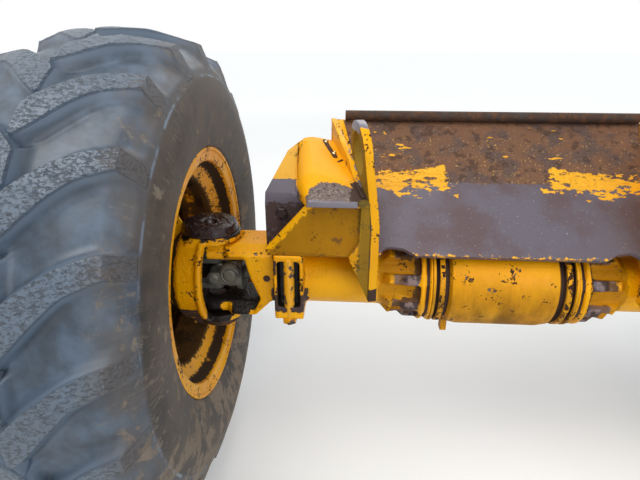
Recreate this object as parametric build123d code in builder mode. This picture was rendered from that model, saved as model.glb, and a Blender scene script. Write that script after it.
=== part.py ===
import os
from math import atan, atan2, cos, degrees, hypot, radians, sin

from build123d import *

os.makedirs("parts", exist_ok=True)

# Front steering axle of a telehandler, wheel to wheel, with the cradle it is bolted under. Millimetres.
# Drawn about the axle's middle: X across, +X the machine's left, Y to the rear, Z up.
# save() then moves each piece, so that the origin is on the back of the cradle.
frame_z = 300.0

running_gap = 0.05  # round a shaft that turns or slides
weld_gap = 0.2  # between plates that are welded along their edges

# Wheel
wheel_x = 925.0
flange_x = 180.0  # rim flanges, each side of the wheel's middle
flange_r = 333.0
seat_r = 304.0
well_r = 256.0
rim_t = 9.0
disc_in = 48.0
disc_t = 16.0
pilot_r = 120.0

# Tyre
lug_tip_r = 610.0
tread_r = 579.0
belly_x = 206.0
belly_r = 455.0
tyre_wall = 26.0
lugs_per_side = 20
lug_flare = 30.0  # how much wider a lug is at lug_foot_r than at its crown
lug_foot_r = 480.0
lug_phase = 2.4  # degrees

# Steering swivel, about an upright pin
pin_x = 735.0
pin_r = 22.0
yoke_gap = 58.0
yoke_top = 98.0
ear_low = 102.0
ear_high = 122.0
ear_r = 70.0
cap_high = 150.0
cap_r = 66.0
bowl_r = 128.0
bowl_wall = 20.0
bowl_x = 742.0
lip = 8.0
spindle_r = 55.0
spindle_end = 945.0
arm_y = 225.0
arm_z = -152.0
arm_half = 26.0
stud_r = 12.0

# Universal joint
ball_r = 20.0
fork_in = 30.0
fork_out = 47.0
fork_half = 17.0
fork_reach = 60.0
half_r = 20.0
stub_r = 22.0

# Axle beam
tube_r = 72.0
pad_in = 490.0
pad_out = 563.0
pad_top = 105.0
pad_low = -72.0
pad_front = -115.0
pad_back = 90.0
head_in = 592.0
head_out = 668.0
head_half = 80.0
jaw_out = 104.0
casing_r = 115.0
joint_x = 172.0
joint_r = 110.0
nose_end = 290.0
input_r = 20.0

# Steering cylinder, left side
cyl_x = 165.0
cyl_y = 178.0
cyl_z = -60.0
rod_eye_x = 745.0
rod_eye_y = 180.0
rod_r = 15.0
cyl_bore_r = 25.0
barrel_r = 33.0
barrel_end = 400.0

# Cradle: eye plates toed out to the rear, upright below the bend and leaning out above it
plate_x = 311.0
plate_t = 20.0
plate_front = -125.0
toe = 12.0  # degrees
lean = 5.3  # degrees
bend_z = 190.0
eye_along = 102.0
eye_z = 338.0
eye_r = 75.0
eye_bore = 50.0
side_t = 14.0
deck_front_y = -100.0
deck_front_z = 110.0
deck_back_y = 250.0
deck_back_z = 366.0
deck_t = 12.0
back_t = 12.0
shelf_x = 587.0
shelf_z = 240.0
shelf_front = -50.0
rear_x = 524.0
panel_front = -112.0
panel_t = 12.0
foot_t = 14.0
bar_r = 14.0


def save(shape, node):
    placed = shape.moved(Location((0, -deck_back_y - back_t, -frame_z)))
    placed.label = node
    export_step(placed, f"parts/{node}.step")


def save_pair(shape, node):
    save(shape, f"{node}_left")
    save(mirror(shape, about=Plane.YZ), f"{node}_right")


def outline(plane, points):
    """Flat face with straight sides."""
    with BuildSketch(plane) as flat:
        with BuildLine():
            Polyline(*points, close=True)
        make_face()
    return flat.sketch


def turned(points, start, along, mode=Mode.ADD):
    """Outline of (distance along, radius) turned about a line."""
    upright = abs(along[2]) > 0.5
    plane = Plane(start, x_dir=along, z_dir=(0, 1, 0) if upright else (0, 0, 1))
    revolve(outline(plane, points), axis=Axis(start, along), mode=mode)


def on_wheel(points, mode=Mode.ADD):
    turned(points, (wheel_x, 0, 0), (1, 0, 0), mode)


def rod(radius, start, end, mode=Mode.ADD):
    """Round bar between two points."""
    run = Vector(*end) - Vector(*start)
    with Locations(Plane(start, z_dir=run)):
        Cylinder(radius, run.length, align=(Align.CENTER, Align.CENTER, Align.MIN), mode=mode)


def block(low, high, mode=Mode.ADD):
    """Box between two corners."""
    size = Vector(*high) - Vector(*low)
    with Locations(low):
        Box(size.X, size.Y, size.Z, align=(Align.MIN, Align.MIN, Align.MIN), mode=mode)


def across(points, front, back, mode=Mode.ADD):
    """Outline of (x, z) drawn from front to back."""
    extrude(outline(Plane.XZ.offset(-front), points), amount=front - back, mode=mode)


def raised(points, low, high, mode=Mode.ADD):
    """Outline of (x, y) drawn upward."""
    extrude(outline(Plane.XY.offset(low), points), amount=high - low, mode=mode)


# Rim: barrel with a drop centre, and the disc welded into it
ledge_r = seat_r - 4
with BuildPart() as rim:
    on_wheel([
        (-flange_x, flange_r),
        (-flange_x + 12, flange_r - 4),
        (-flange_x + 16, seat_r),
        (-128, ledge_r),
        (-108, well_r),
        (-28, well_r),
        (-6, ledge_r),
        (flange_x - 16, seat_r),
        (flange_x - 12, flange_r - 4),
        (flange_x, flange_r),
        (flange_x, flange_r - rim_t),
        (flange_x - 5, flange_r - rim_t - 2),
        (flange_x - 8, seat_r - rim_t + 1),
        (2, ledge_r - rim_t),
        (-22, well_r - rim_t),
        (-114, well_r - rim_t),
        (-136, ledge_r - rim_t),
        (-flange_x + 8, seat_r - rim_t + 1),
        (-flange_x + 5, flange_r - rim_t - 2),
        (-flange_x, flange_r - rim_t),
    ])
    on_wheel([
        (disc_in, pilot_r),
        (disc_in + disc_t, pilot_r),
        (disc_in + disc_t, ledge_r - 75),
        (disc_in - 8, ledge_r - rim_t + 2),
        (disc_in - 26, ledge_r - rim_t + 2),
        (disc_in, ledge_r - 78),
    ])
save_pair(rim.part, "rim")

# Tyre: one half of the outside from the crown down to the bead, and of the air space below it
half_outside = [
    (0, tread_r),
    (100, tread_r - 8),
    (150, tread_r - 21),
    (188, tread_r - 56),
    (197, tread_r - 79),
    (belly_x, belly_r),
    (200, 400),
    (184, flange_r + 7),
    (flange_x, flange_r),
    (flange_x - 12, flange_r - 4),
    (flange_x - 16, seat_r),
    (136, ledge_r + 4 * 142 / 170),
]
half_inside = [
    (140, flange_r - 3),
    (172, 400),
    (belly_x - tyre_wall, belly_r),
    (168, tread_r - 74),
    (130, tread_r - 44),
    (0, tread_r - 31),
]
# Crown of one lug: distance out from the tread's middle, distance behind its tip, half width
lug_crown = [
    (-4, -4, 42),
    (30, 27, 40),
    (69, 64, 35),
    (110, 101, 27),
    (168, 127, 23),
    (215, 124, 23),
]
lug_middle = 64.0
# Band that holds the lugs: its outside from the middle to the shoulder, then its inside
lug_band = [
    (0, lug_tip_r),
    (72, lug_tip_r - 4),
    (168, lug_tip_r - 31),
    (193, tread_r - 55),
    (199, tread_r - 76),
    (190, tread_r - 78),
    (182, tread_r - 62),
    (148, tread_r - 31),
    (100, tread_r - 18),
    (0, tread_r - 10),
]


def lug(side):
    """Lug at the top of the wheel, running outboard for side 1 and inboard for side -1."""
    front = [(wheel_x + side * x, behind - half - lug_middle) for x, behind, half in lug_crown]
    back = [(wheel_x + side * x, behind + half - lug_middle) for x, behind, half in reversed(lug_crown)]
    with BuildPart() as one:
        with BuildSketch(Plane.XY.offset(lug_foot_r)):
            add(outline(Plane.XY, front + back))
            offset(amount=lug_flare, kind=Kind.INTERSECTION)
        with BuildSketch(Plane.XY.offset(lug_tip_r + 2)):
            add(outline(Plane.XY, front + back))
        loft(ruled=True)
        on_wheel([(side * x, r) for x, r in lug_band], Mode.INTERSECT)
    return one.part.rotate(Axis.X, -degrees(lug_middle / lug_tip_r))


pitch = 360 / lugs_per_side
lugs = []
for side, phase in ((-1, lug_phase), (1, lug_phase + pitch / 2)):
    one = lug(side)
    lugs += [one.rotate(Axis.X, phase + pitch * i) for i in range(lugs_per_side)]

with BuildPart() as tyre:
    left_outside = [(-x, r) for x, r in reversed(half_outside)]
    right_inside = list(reversed([(-x, r) for x, r in half_inside]))
    on_wheel(left_outside + half_outside[1:] + half_inside[:-1] + right_inside)
    add(lugs)
save_pair(tyre.part, "tyre")

# Hub, which turns on the swivel's spindle and carries the rim
hub_face = wheel_x + disc_in
hub_end = hub_face + 76
with BuildPart() as hub:
    turned([
        (spindle_end - 83, spindle_r + running_gap),
        (spindle_end - 83, 96),
        (spindle_end - 73, pilot_r - 12),
        (hub_face - 22, pilot_r - 12),
        (hub_face - 18, pilot_r + 76),
        (hub_face, pilot_r + 80),
        (hub_face, pilot_r),
        (hub_end - 14, pilot_r),
        (hub_end, pilot_r - 16),
        (hub_end, 0),
        (spindle_end + 8, 0),
        (spindle_end + 8, spindle_r + running_gap),
    ], (0, 0, 0), (1, 0, 0))
save_pair(hub.part, "hub")

with BuildPart() as hub_cap:
    turned([(hub_end, 0), (hub_end, 58), (hub_end + 8, 54), (hub_end + 14, 0)], (0, 0, 0), (1, 0, 0))
save_pair(hub_cap.part, "hub_cap")


def fork(outward, upright):
    """Fork of the universal joint, its base on the side that outward points to."""
    base = pin_x + outward * fork_reach
    rod(fork_out, (base, 0, 0), (base + outward * 16, 0, 0))
    near, far = sorted((pin_x, base + outward * 4))
    for sign in (-1, 1):
        low, high = sorted((sign * fork_in, sign * fork_out))
        if upright:
            block((near, -fork_half, low), (far, fork_half, high))
            rod(fork_half, (pin_x, 0, low), (pin_x, 0, high))
        else:
            block((near, low, -fork_half), (far, high, fork_half))
            rod(fork_half, (pin_x, low, 0), (pin_x, high, 0))


# The joint's ball and cross pins, with the inner fork on the half shaft
with BuildPart() as half_shaft:
    fork(-1, False)
    with Locations((pin_x, 0, 0)):
        Sphere(ball_r)
    rod(11, (pin_x, -fork_out - 4, 0), (pin_x, fork_out + 4, 0))
    rod(half_r, (pad_in + 80, 0, 0), (pin_x - fork_reach, 0, 0))
save_pair(half_shaft.part, "half_shaft")

with BuildPart() as stub_shaft:
    fork(1, True)
    for sign in (-1, 1):
        rod(11, (pin_x, 0, sign * (ball_r + 6)), (pin_x, 0, sign * (fork_out + 4)))
    rod(stub_r, (pin_x + fork_reach, 0, 0), (spindle_end + 8, 0, 0))
save_pair(stub_shaft.part, "stub_shaft")

# Swivel housing: lipped bowl and spindle, ears above and below the beam's head, steering arm behind
with BuildPart() as swivel:
    turned([
        (bowl_x, bowl_r - bowl_wall + 6),
        (bowl_x, bowl_r + lip - 4),
        (bowl_x + 4, bowl_r + lip),
        (bowl_x + 12, bowl_r + lip),
        (bowl_x + 18, bowl_r),
        (805, bowl_r),
        (848, 92),
        (856, 92),
        (856, spindle_r),
        (spindle_end, spindle_r),
        (spindle_end, stub_r + 10),
        (832, stub_r + 10),
        (826, 84),
        (795, bowl_r - bowl_wall),
    ], (0, 0, 0), (1, 0, 0))
    for sign in (1, -1):
        low, high = sorted((sign * ear_low, sign * ear_high))
        rod(ear_r, (pin_x, 0, low), (pin_x, 0, high))
        raised([(pin_x, -ear_r), (790, -76), (790, 76), (pin_x, ear_r)], low, high)
        low, high = sorted((sign * ear_high, sign * (bowl_r + bowl_wall)))
        block((pin_x - 90, -85, low), (pin_x + cap_r + 2, 85, high), Mode.SUBTRACT)
    arm = [(pin_x - 44, 30), (pin_x - arm_half, arm_y), (pin_x + arm_half, arm_y), (pin_x + 34, 90), (pin_x + 50, 30)]
    raised(arm, -ear_high, -ear_low)
    rod(arm_half, (pin_x, arm_y, -ear_high), (pin_x, arm_y, -ear_low))
    rod(arm_half, (rod_eye_x, rod_eye_y, -ear_high), (rod_eye_x, rod_eye_y, -ear_low))
    rod(20, (rod_eye_x, rod_eye_y, -ear_low), (rod_eye_x, rod_eye_y, -ear_low + 16))
    rod(stud_r + running_gap, (pin_x, arm_y, -ear_high - 1), (pin_x, arm_y, -ear_low + 1), Mode.SUBTRACT)
    # room for the steering cylinder's eye
    block((bowl_x - 1, 117, -90), (bowl_x + 60, 150, -28), Mode.SUBTRACT)
    for sign in (1, -1):
        low, high = sorted((sign * (ear_low - 1), sign * (ear_high + 1)))
        rod(pin_r, (pin_x, 0, low), (pin_x, 0, high), Mode.SUBTRACT)
save_pair(swivel.part, "swivel_housing")

with BuildPart() as pin_upper:
    turned([
        (yoke_gap + 6, 0),
        (yoke_gap + 6, pin_r),
        (ear_high, pin_r),
        (ear_high, cap_r),
        (cap_high - 12, cap_r),
        (cap_high, cap_r - 16),
        (cap_high, 0),
    ], (pin_x, 0, 0), (0, 0, 1))
save_pair(pin_upper.part, "king_pin_upper")

with BuildPart() as pin_lower:
    turned([
        (-yoke_gap - 6, 0),
        (-yoke_gap - 6, pin_r),
        (-ear_high, pin_r),
        (-ear_high, cap_r - 14),
        (-cap_high + 8, cap_r - 14),
        (-cap_high, cap_r - 26),
        (-cap_high, 0),
    ], (pin_x, 0, 0), (0, 0, 1))
save_pair(pin_lower.part, "king_pin_lower")

# Beam arm: grooved flange with hooked ribs, tube, slotted pad, and the head that holds the king pins
rib = [
    (joint_x + 10, tube_r - 12),
    (joint_x + 10, joint_r - 8),
    (joint_x + 64, joint_r - 8),
    (joint_x + 80, tube_r + 16),
    (joint_x + 104, tube_r + 22),
    (joint_x + 122, tube_r + 2),
    (joint_x + 122, tube_r - 12),
]
with BuildPart() as head:
    across([
        (pad_out - 4, -38),
        (head_in - 14, -44),
        (head_out - 32, -jaw_out),
        (pin_x, -jaw_out),
        (pin_x, jaw_out),
        (head_in - 12, jaw_out),
        (pad_out - 4, jaw_out - 8),
    ], -head_half, head_half)
    # top and bottom slope down to the front and back faces
    upper = [(-head_half, yoke_top - 14), (-head_half + 34, jaw_out), (head_half - 34, jaw_out), (head_half, yoke_top - 14)]
    lower = [(y, -z) for y, z in reversed(upper)]
    extrude(outline(Plane.YZ.offset(pad_out - 5), upper + lower), amount=pin_x - pad_out + 80, mode=Mode.INTERSECT)
    rod(62, (pin_x, 0, -yoke_top + 12), (pin_x, 0, yoke_top - 12))
    rod(51, (pin_x, 0, -yoke_top), (pin_x, 0, yoke_top))

# Window between the jaws, which flares to the front and back
with BuildPart() as window:
    across([
        (pin_x + 80, -90),
        (head_out - 38, -90),
        (head_out - 63, -38),
        (head_out - 40, 20),
        (head_out - 32, 50),
        (head_out - 28, 72),
        (head_out - 14, 90),
        (pin_x + 80, 90),
    ], -head_half - 1, head_half + 1)
    flare_top = [(-head_half - 1, 82), (-48, yoke_gap), (48, yoke_gap), (head_half + 1, 82)]
    flare_low = [(y, -z) for y, z in reversed(flare_top)]
    extrude(outline(Plane.YZ.offset(head_in), flare_top + flare_low), amount=300, mode=Mode.INTERSECT)

with BuildPart() as beam_arm:
    turned([
        (joint_x, 0),
        (joint_x, joint_r),
        (joint_x + 6, joint_r),
        (joint_x + 8, joint_r - 14),
        (joint_x + 16, joint_r - 14),
        (joint_x + 18, joint_r - 2),
        (joint_x + 28, joint_r - 2),
        (joint_x + 32, tube_r + 12),
        (joint_x + 64, tube_r + 4),
        (joint_x + 78, tube_r),
        (pad_in, tube_r),
        (pad_in, 0),
    ], (0, 0, 0), (1, 0, 0))
    with BuildPart(mode=Mode.PRIVATE) as one_rib:
        across(rib, -13, 13)
    add([one_rib.part.rotate(Axis.X, 22.5 + 45 * i) for i in range(8)])
    block((pad_in, pad_front, pad_low), (pad_out, pad_back, pad_top))
    slot_low = pad_low + 34
    slot_high = pad_top - 17
    for x0, x1 in ((pad_in + 9, pad_in + 31), (pad_in + 41, pad_out - 9)):
        block((x0, pad_front - 1, slot_low), (x1, pad_front + 28, slot_high), Mode.SUBTRACT)
        block((x0, pad_back - 28, slot_low), (x1, pad_back + 1, slot_high), Mode.SUBTRACT)
    add(head.part)
    for side in (-1, 1):
        # each jaw narrows to the pin, and is flat under the swivel's ear
        raised([(head_out + 11, side * 81), (pin_x - 38, side * 54), (pin_x, side * 60), (800, side * 60), (800, side * 81)],
               -160, 160, Mode.SUBTRACT)
        for end in (-1, 1):
            low, high = sorted((end * (yoke_top - 12), end * 160))
            raised([(head_out + 20, side * 81), (pin_x - 38, side * 47), (pin_x, side * 49), (800, side * 49),
                    (800, side * 81)], low, high, Mode.SUBTRACT)
        low, high = sorted((side * yoke_top, side * 160))
        rod(ear_r + 7, (pin_x, 0, low), (pin_x, 0, high), Mode.SUBTRACT)
    # room for the steering arm at full lock
    raised([(head_out + 40, -10), (head_out + 8, -10), (head_out - 58, 104), (head_out + 40, 104)],
           -160, -yoke_top + 2, Mode.SUBTRACT)
    add(window.part, mode=Mode.SUBTRACT)
    rod(half_r + running_gap, (pad_in + 70, 0, 0), (700, 0, 0), Mode.SUBTRACT)
    rod(pin_r + running_gap, (pin_x, 0, -yoke_top - 1), (pin_x, 0, yoke_top + 1), Mode.SUBTRACT)
save_pair(beam_arm.part, "beam_arm")

# Bolts that clamp each pad under its bracket
with BuildPart() as pad_bolts:
    for x in (pad_in + 20, pad_out - 20.5):
        for y in (pad_front + 14, pad_back - 14):
            rod(9, (x, y, slot_low), (x, y, slot_high))
            rod(15, (x, y, pad_low - 16), (x, y, pad_low))
save_pair(pad_bolts.part, "pad_bolts")

# Centre casing with grooved ends and the steering cylinder's bracket
half_casing = [
    (joint_x, 0),
    (joint_x, joint_r),
    (joint_x - 6, joint_r),
    (joint_x - 8, joint_r - 14),
    (joint_x - 14, joint_r - 14),
    (joint_x - 16, joint_r),
    (joint_x - 28, joint_r),
    (joint_x - 30, joint_r - 14),
    (joint_x - 38, joint_r - 14),
    (joint_x - 46, casing_r - 5),
    (joint_x - 72, casing_r),
]
with BuildPart() as casing:
    turned([(-x, r) for x, r in half_casing] + half_casing[::-1], (0, 0, 0), (1, 0, 0))
    rod(casing_r - 7, (0, 0, 0), (0, 130, 0))
    block((-joint_x + 40, -40, -136), (-joint_x + 56, -16, -100))
    for low in (cyl_z - 34, cyl_z + 20):
        raised([(100, 60), (joint_x - 20, 60), (cyl_x + 22, cyl_y), (cyl_x - 22, cyl_y)], low, low + 14)
        rod(22, (cyl_x, cyl_y, low), (cyl_x, cyl_y, low + 14))
    rod(stud_r, (cyl_x, cyl_y, cyl_z - 40), (cyl_x, cyl_y, cyl_z + 40))
save(casing.part, "centre_casing")

with BuildPart() as drive_head:
    turned([
        (130, 0),
        (130, casing_r - 7),
        (146, casing_r - 7),
        (152, 92),
        (200, 72),
        (nose_end - 50, 58),
        (nose_end, 56),
        (nose_end, input_r + running_gap),
        (nose_end - 60, input_r + running_gap),
        (nose_end - 60, 0),
    ], (0, 0, 0), (0, 1, 0))
save(drive_head.part, "drive_head")

flange_pcd = 101.5
flange_bolts = 8
with BuildPart() as input_flange:
    turned([
        (nose_end - 54, 0),
        (nose_end - 54, input_r),
        (nose_end + 6, input_r),
        (nose_end + 6, 38),
        (nose_end + 22, 38),
        (nose_end + 24, 60),
        (nose_end + 34, 60),
        (nose_end + 34, 37.5),
        (nose_end + 32, 37.5),
        (nose_end + 32, 0),
    ], (0, 0, 0), (0, 1, 0))
    for i in range(flange_bolts):
        turn = radians(360 / flange_bolts * (i + 0.5))
        x = flange_pcd / 2 * cos(turn)
        z = flange_pcd / 2 * sin(turn)
        rod(5.25, (x, nose_end + 18, z), (x, nose_end + 40, z), Mode.SUBTRACT)
save(input_flange.part, "input_flange")

# Tie rod under the steering arms, screwed into an end at each stud
with BuildPart() as tie_rod:
    rod(15, (-pin_x + 14, arm_y, arm_z), (pin_x - 14, arm_y, arm_z))
save(tie_rod.part, "tie_rod")

with BuildPart() as tie_rod_end:
    turned([
        (arm_z - 20, 0),
        (arm_z - 20, 18),
        (arm_z - 14, 24),
        (arm_z + 16, 24),
        (arm_z + 24, 14),
        (arm_z + 24, stud_r),
        (-ear_low + 8, stud_r),
        (-ear_low + 8, 0),
    ], (pin_x, arm_y, 0), (0, 0, 1))
    rod(21, (pin_x - 90, arm_y, arm_z), (pin_x - 14, arm_y, arm_z))
    rod(15, (pin_x - 91, arm_y, arm_z), (pin_x - 14, arm_y, arm_z), Mode.SUBTRACT)
save_pair(tie_rod_end.part, "tie_rod_end")

# Steering cylinder, drawn along X from its bracket and then swung to its line
cyl_run = hypot(rod_eye_x - cyl_x, rod_eye_y - cyl_y)
cyl_turn = degrees(atan2(rod_eye_y - cyl_y, rod_eye_x - cyl_x))


def along_cylinder(shape):
    return shape.rotate(Axis.Z, cyl_turn).moved(Location((cyl_x, cyl_y, cyl_z)))


with BuildPart() as barrel:
    rod(22, (0, 0, -17), (0, 0, 17))
    rod(14, (12, 0, 0), (36, 0, 0))
    rod(barrel_r, (30, 0, 0), (barrel_end, 0, 0))
    rod(cyl_bore_r, (46, 0, 0), (barrel_end - 16, 0, 0), Mode.SUBTRACT)
    rod(rod_r + running_gap, (barrel_end - 20, 0, 0), (barrel_end + 1, 0, 0), Mode.SUBTRACT)
    rod(stud_r + running_gap, (0, 0, -18), (0, 0, 18), Mode.SUBTRACT)
save(along_cylinder(barrel.part), "steer_cylinder")

piston_at = 215.0
with BuildPart() as cyl_rod:
    rod(rod_r, (piston_at - 10, 0, 0), (cyl_run - 16, 0, 0))
    rod(cyl_bore_r - running_gap, (piston_at, 0, 0), (piston_at + 30, 0, 0))
    rod(22, (cyl_run, 0, -17), (cyl_run, 0, 17))
    rod(13, (cyl_run, 0, -19), (cyl_run, 0, 24))
save(along_cylinder(cyl_rod.part), "steer_rod")

# Eye plates. plate_face looks along the plate's thickness, plate_end along its length.
toe_out = radians(toe)
lean_out = radians(lean)
plate_across = Vector(cos(toe_out), -sin(toe_out), 0)
plate_along = Vector(sin(toe_out), cos(toe_out), 0)
plate_foot = Vector(plate_x, plate_front, 0)
plate_face = Plane(plate_foot, x_dir=plate_along, z_dir=plate_across)
plate_end = Plane(plate_foot, x_dir=plate_across, z_dir=plate_along * -1)
plate_w = plate_t / cos(lean_out)
plate_length = (deck_back_y - plate_front) / cos(toe_out) - 6


def lean_at(z):
    return max(0, z - bend_z) * sin(lean_out) / cos(lean_out)


def bent_slab(near, far, mode):
    """Slab between two distances from the eye plate's inner face, bent as the plate is."""
    top = 500
    section = [
        (near, -100),
        (far, -100),
        (far, bend_z),
        (far + lean_at(top), top),
        (near + lean_at(top), top),
        (near, bend_z),
    ]
    extrude(outline(plate_end.offset(20), section), amount=-plate_length - 60, mode=mode)


eye_middle = plate_foot + plate_across * lean_at(eye_z) + plate_along * eye_along + Vector(0, 0, eye_z)
eye_axis = plate_across * cos(lean_out) - Vector(0, 0, sin(lean_out))
with BuildPart() as eye_plate:
    with BuildSketch(plate_face.offset(-10)):
        add(outline(Plane.XY, [
            (0, -5),
            (0, 200),
            (eye_along - eye_r, eye_z),
            (eye_along + eye_r, eye_z - 18),
            (eye_along + eye_r + 38, 262),
            (plate_length, deck_back_z + 4),
            (plate_length, pad_top + 15),
            (270, 40),
            (262, -5),
        ]))
        with Locations((eye_along, eye_z)):
            Circle(eye_r)
    extrude(amount=120)
    bent_slab(0, plate_w, Mode.INTERSECT)
    rod(eye_bore, eye_middle - eye_axis * 40, eye_middle + eye_axis * 60, Mode.SUBTRACT)
    rod(tube_r + 12, (plate_x - 60, 0, 0), (plate_x + 160, 0, 0), Mode.SUBTRACT)
    block((plate_x - 60, -tube_r - 12, -60), (plate_x + 160, tube_r + 12, 0), Mode.SUBTRACT)
save_pair(eye_plate.part, "eye_plate")

# Saddle bracket: shelf on the beam's pad, hood beside it, side plate against the eye plate
# Each hood section: y, low z, flank x, flank z, crest x, crest z, z at the eye plate
hood_sections = [
    (-128, 235, 478, 237, 470, 247, 246),
    (-45, 230, 508, 252, 470, 290, 257),
    (200, 230, 532, 284, 500, 316, 285),
    (deck_back_y, 230, rear_x, 284, rear_x - 32, 316, 290),
]
with BuildPart() as side_plate:
    with BuildSketch(plate_face.offset(-10)):
        add(outline(Plane.XY, [
            (20, pad_top),
            (20, shelf_z),
            (110, 280),
            (150, 308),
            (plate_length, deck_back_z + 7),
            (plate_length, pad_top),
        ]))
    extrude(amount=120)
    bent_slab(plate_w + weld_gap, plate_w + weld_gap + side_t, Mode.INTERSECT)

with BuildPart() as saddle:
    for y, low, flank_x, flank_z, crest_x, crest_z, plate_z in hood_sections:
        with BuildSketch(Plane.XZ.offset(-y)):
            with BuildLine():
                Polyline((crest_x, crest_z), (plate_x, plate_z), (plate_x, low), (flank_x, low), (flank_x, flank_z))
                bulge = 0.7071
                ThreePointArc(
                    (flank_x, flank_z),
                    (crest_x + (flank_x - crest_x) * bulge, flank_z + (crest_z - flank_z) * bulge),
                    (crest_x, crest_z),
                )
            make_face()
    loft(ruled=True)
    shelf = [
        (shelf_front, pad_top),
        (shelf_front, shelf_z - 25),
        (shelf_front + 10, shelf_z),
        (deck_back_y, shelf_z),
        (deck_back_y, pad_top),
    ]
    extrude(outline(Plane.YZ.offset(plate_x), shelf), amount=shelf_x - plate_x)
    raised([(shelf_x, 195), (shelf_x + 10, 195), (shelf_x + 10, deck_back_y + 1), (rear_x + 12, deck_back_y + 1)],
           0, shelf_z + 1, Mode.SUBTRACT)
    block((plate_x, panel_front + 1, pad_top), (shelf_x - 10, shelf_front + 1, pad_top + foot_t))
    across([(plate_x, pad_top), (shelf_x - 10, pad_top), (shelf_x - 7, pad_top + 17), (477, 238), (plate_x, 238)],
           panel_front, panel_front + panel_t)
    across([(plate_x, 0), (333, 0), (381, 108), (357, 150), (355, 238), (plate_x, 238)],
           panel_front - 13, panel_front)
    add(side_plate.part)
    bent_slab(-400, plate_w + weld_gap, Mode.SUBTRACT)
save_pair(saddle.part, "saddle_bracket")

# Deck plate between the eye plates, rising to the rear, with a scallop in its front edge at each side
slope = atan((deck_back_z - deck_front_z) / (deck_back_y - deck_front_y))
deck_plane = Plane((0, deck_front_y, deck_front_z), x_dir=(1, 0, 0), z_dir=(0, -sin(slope), cos(slope)))
deck_bend_y = deck_front_y + (bend_z - deck_front_z) * cos(slope) / sin(slope)


def deck_half(y, z):
    """Half width between the eye plates."""
    return plate_x + (y - plate_front) * sin(toe_out) / cos(toe_out) + lean_at(z) / cos(toe_out) - weld_gap


half_front = deck_half(deck_front_y, deck_front_z)
with BuildPart() as deck:
    with BuildSketch(deck_plane):
        with BuildLine():
            for side in (1, -1):
                Polyline(
                    (0, 0),
                    (side * 221, 0),
                    (side * 250, 18),
                    (side * 276, 22),
                )
                ThreePointArc((side * 276, 22), (side * 295, 16), (side * 304, 0))
                Polyline(
                    (side * 304, 0),
                    (side * half_front, 0),
                    (side * deck_half(deck_bend_y, bend_z), (deck_bend_y - deck_front_y) / cos(slope)),
                    (side * deck_half(deck_back_y, deck_back_z), (deck_back_y - deck_front_y) / cos(slope)),
                    (0, (deck_back_y - deck_front_y) / cos(slope)),
                )
        make_face()
    extrude(amount=-deck_t)
    block((-500, deck_back_y, 0), (500, deck_back_y + 40, 600), Mode.SUBTRACT)
save(deck.part, "deck_plate")

with BuildPart() as back_plate:
    half_top = deck_half(deck_back_y, deck_back_z) + 32
    across([(-rear_x, 170), (rear_x, 170), (rear_x, 280), (half_top, 300), (half_top, deck_back_z),
            (-half_top, deck_back_z), (-half_top, 300), (-rear_x, 280)], deck_back_y, deck_back_y + back_t)
save(back_plate.part, "back_plate")

with BuildPart() as cross_bar:
    bar_z = deck_back_z + bar_r
    rod(bar_r, (-400, deck_back_y - 4, bar_z), (400, deck_back_y - 4, bar_z))
save(cross_bar.part, "cross_bar")
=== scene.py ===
import math

import bmesh
import bpy
from mathutils import Matrix, Vector, noise


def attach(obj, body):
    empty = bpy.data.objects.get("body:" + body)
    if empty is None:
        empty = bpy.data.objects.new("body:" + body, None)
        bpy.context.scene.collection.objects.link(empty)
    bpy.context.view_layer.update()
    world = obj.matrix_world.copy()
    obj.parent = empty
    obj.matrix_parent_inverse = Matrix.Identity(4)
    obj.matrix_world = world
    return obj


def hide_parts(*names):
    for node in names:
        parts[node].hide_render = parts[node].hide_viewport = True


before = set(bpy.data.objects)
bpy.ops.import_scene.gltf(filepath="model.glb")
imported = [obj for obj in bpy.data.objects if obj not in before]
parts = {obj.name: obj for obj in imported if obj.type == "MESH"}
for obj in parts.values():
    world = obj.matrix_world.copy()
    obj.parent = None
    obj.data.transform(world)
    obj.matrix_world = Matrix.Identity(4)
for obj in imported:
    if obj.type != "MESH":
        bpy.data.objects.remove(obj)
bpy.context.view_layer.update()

root = "axle_beam"
sides = (("left", 1), ("right", -1))
axleAt = (0.0, -0.262, -0.3)  # middle of the axle in the frame, metres
wheelMiddle = 925.0  # from the middle of the axle to the middle of a tyre, millimetres


def place(x, y, z):  # axle millimetres, counted from the middle of the axle, to frame metres
    return Vector((x / 1000 + axleAt[0], y / 1000 + axleAt[1], z / 1000 + axleAt[2]))


# Nodes that finishes are made of

def hexColour(text):  # sRGB hex to linear
    shares = [int(text[i:i + 2], 16) / 255 for i in (0, 2, 4)]
    return tuple(c / 12.92 if c <= 0.04045 else ((c + 0.055) / 1.055) ** 2.4 for c in shares) + (1.0,)


# inputs in socket order, or by name or number: plain values, sockets, or nodes for their first live output
def addNode(tree, kind, inputs=(), settings={}):
    node = tree.nodes.new(kind)
    for name, value in settings.items():
        setattr(node, name, value)
    for name, value in inputs.items() if isinstance(inputs, dict) else enumerate(inputs):
        if isinstance(value, bpy.types.Node):
            value = next(output for output in value.outputs if output.enabled)
        if isinstance(value, bpy.types.NodeSocket):
            tree.links.new(value, node.inputs[name])
        else:
            node.inputs[name].default_value = value
    return node


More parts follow.
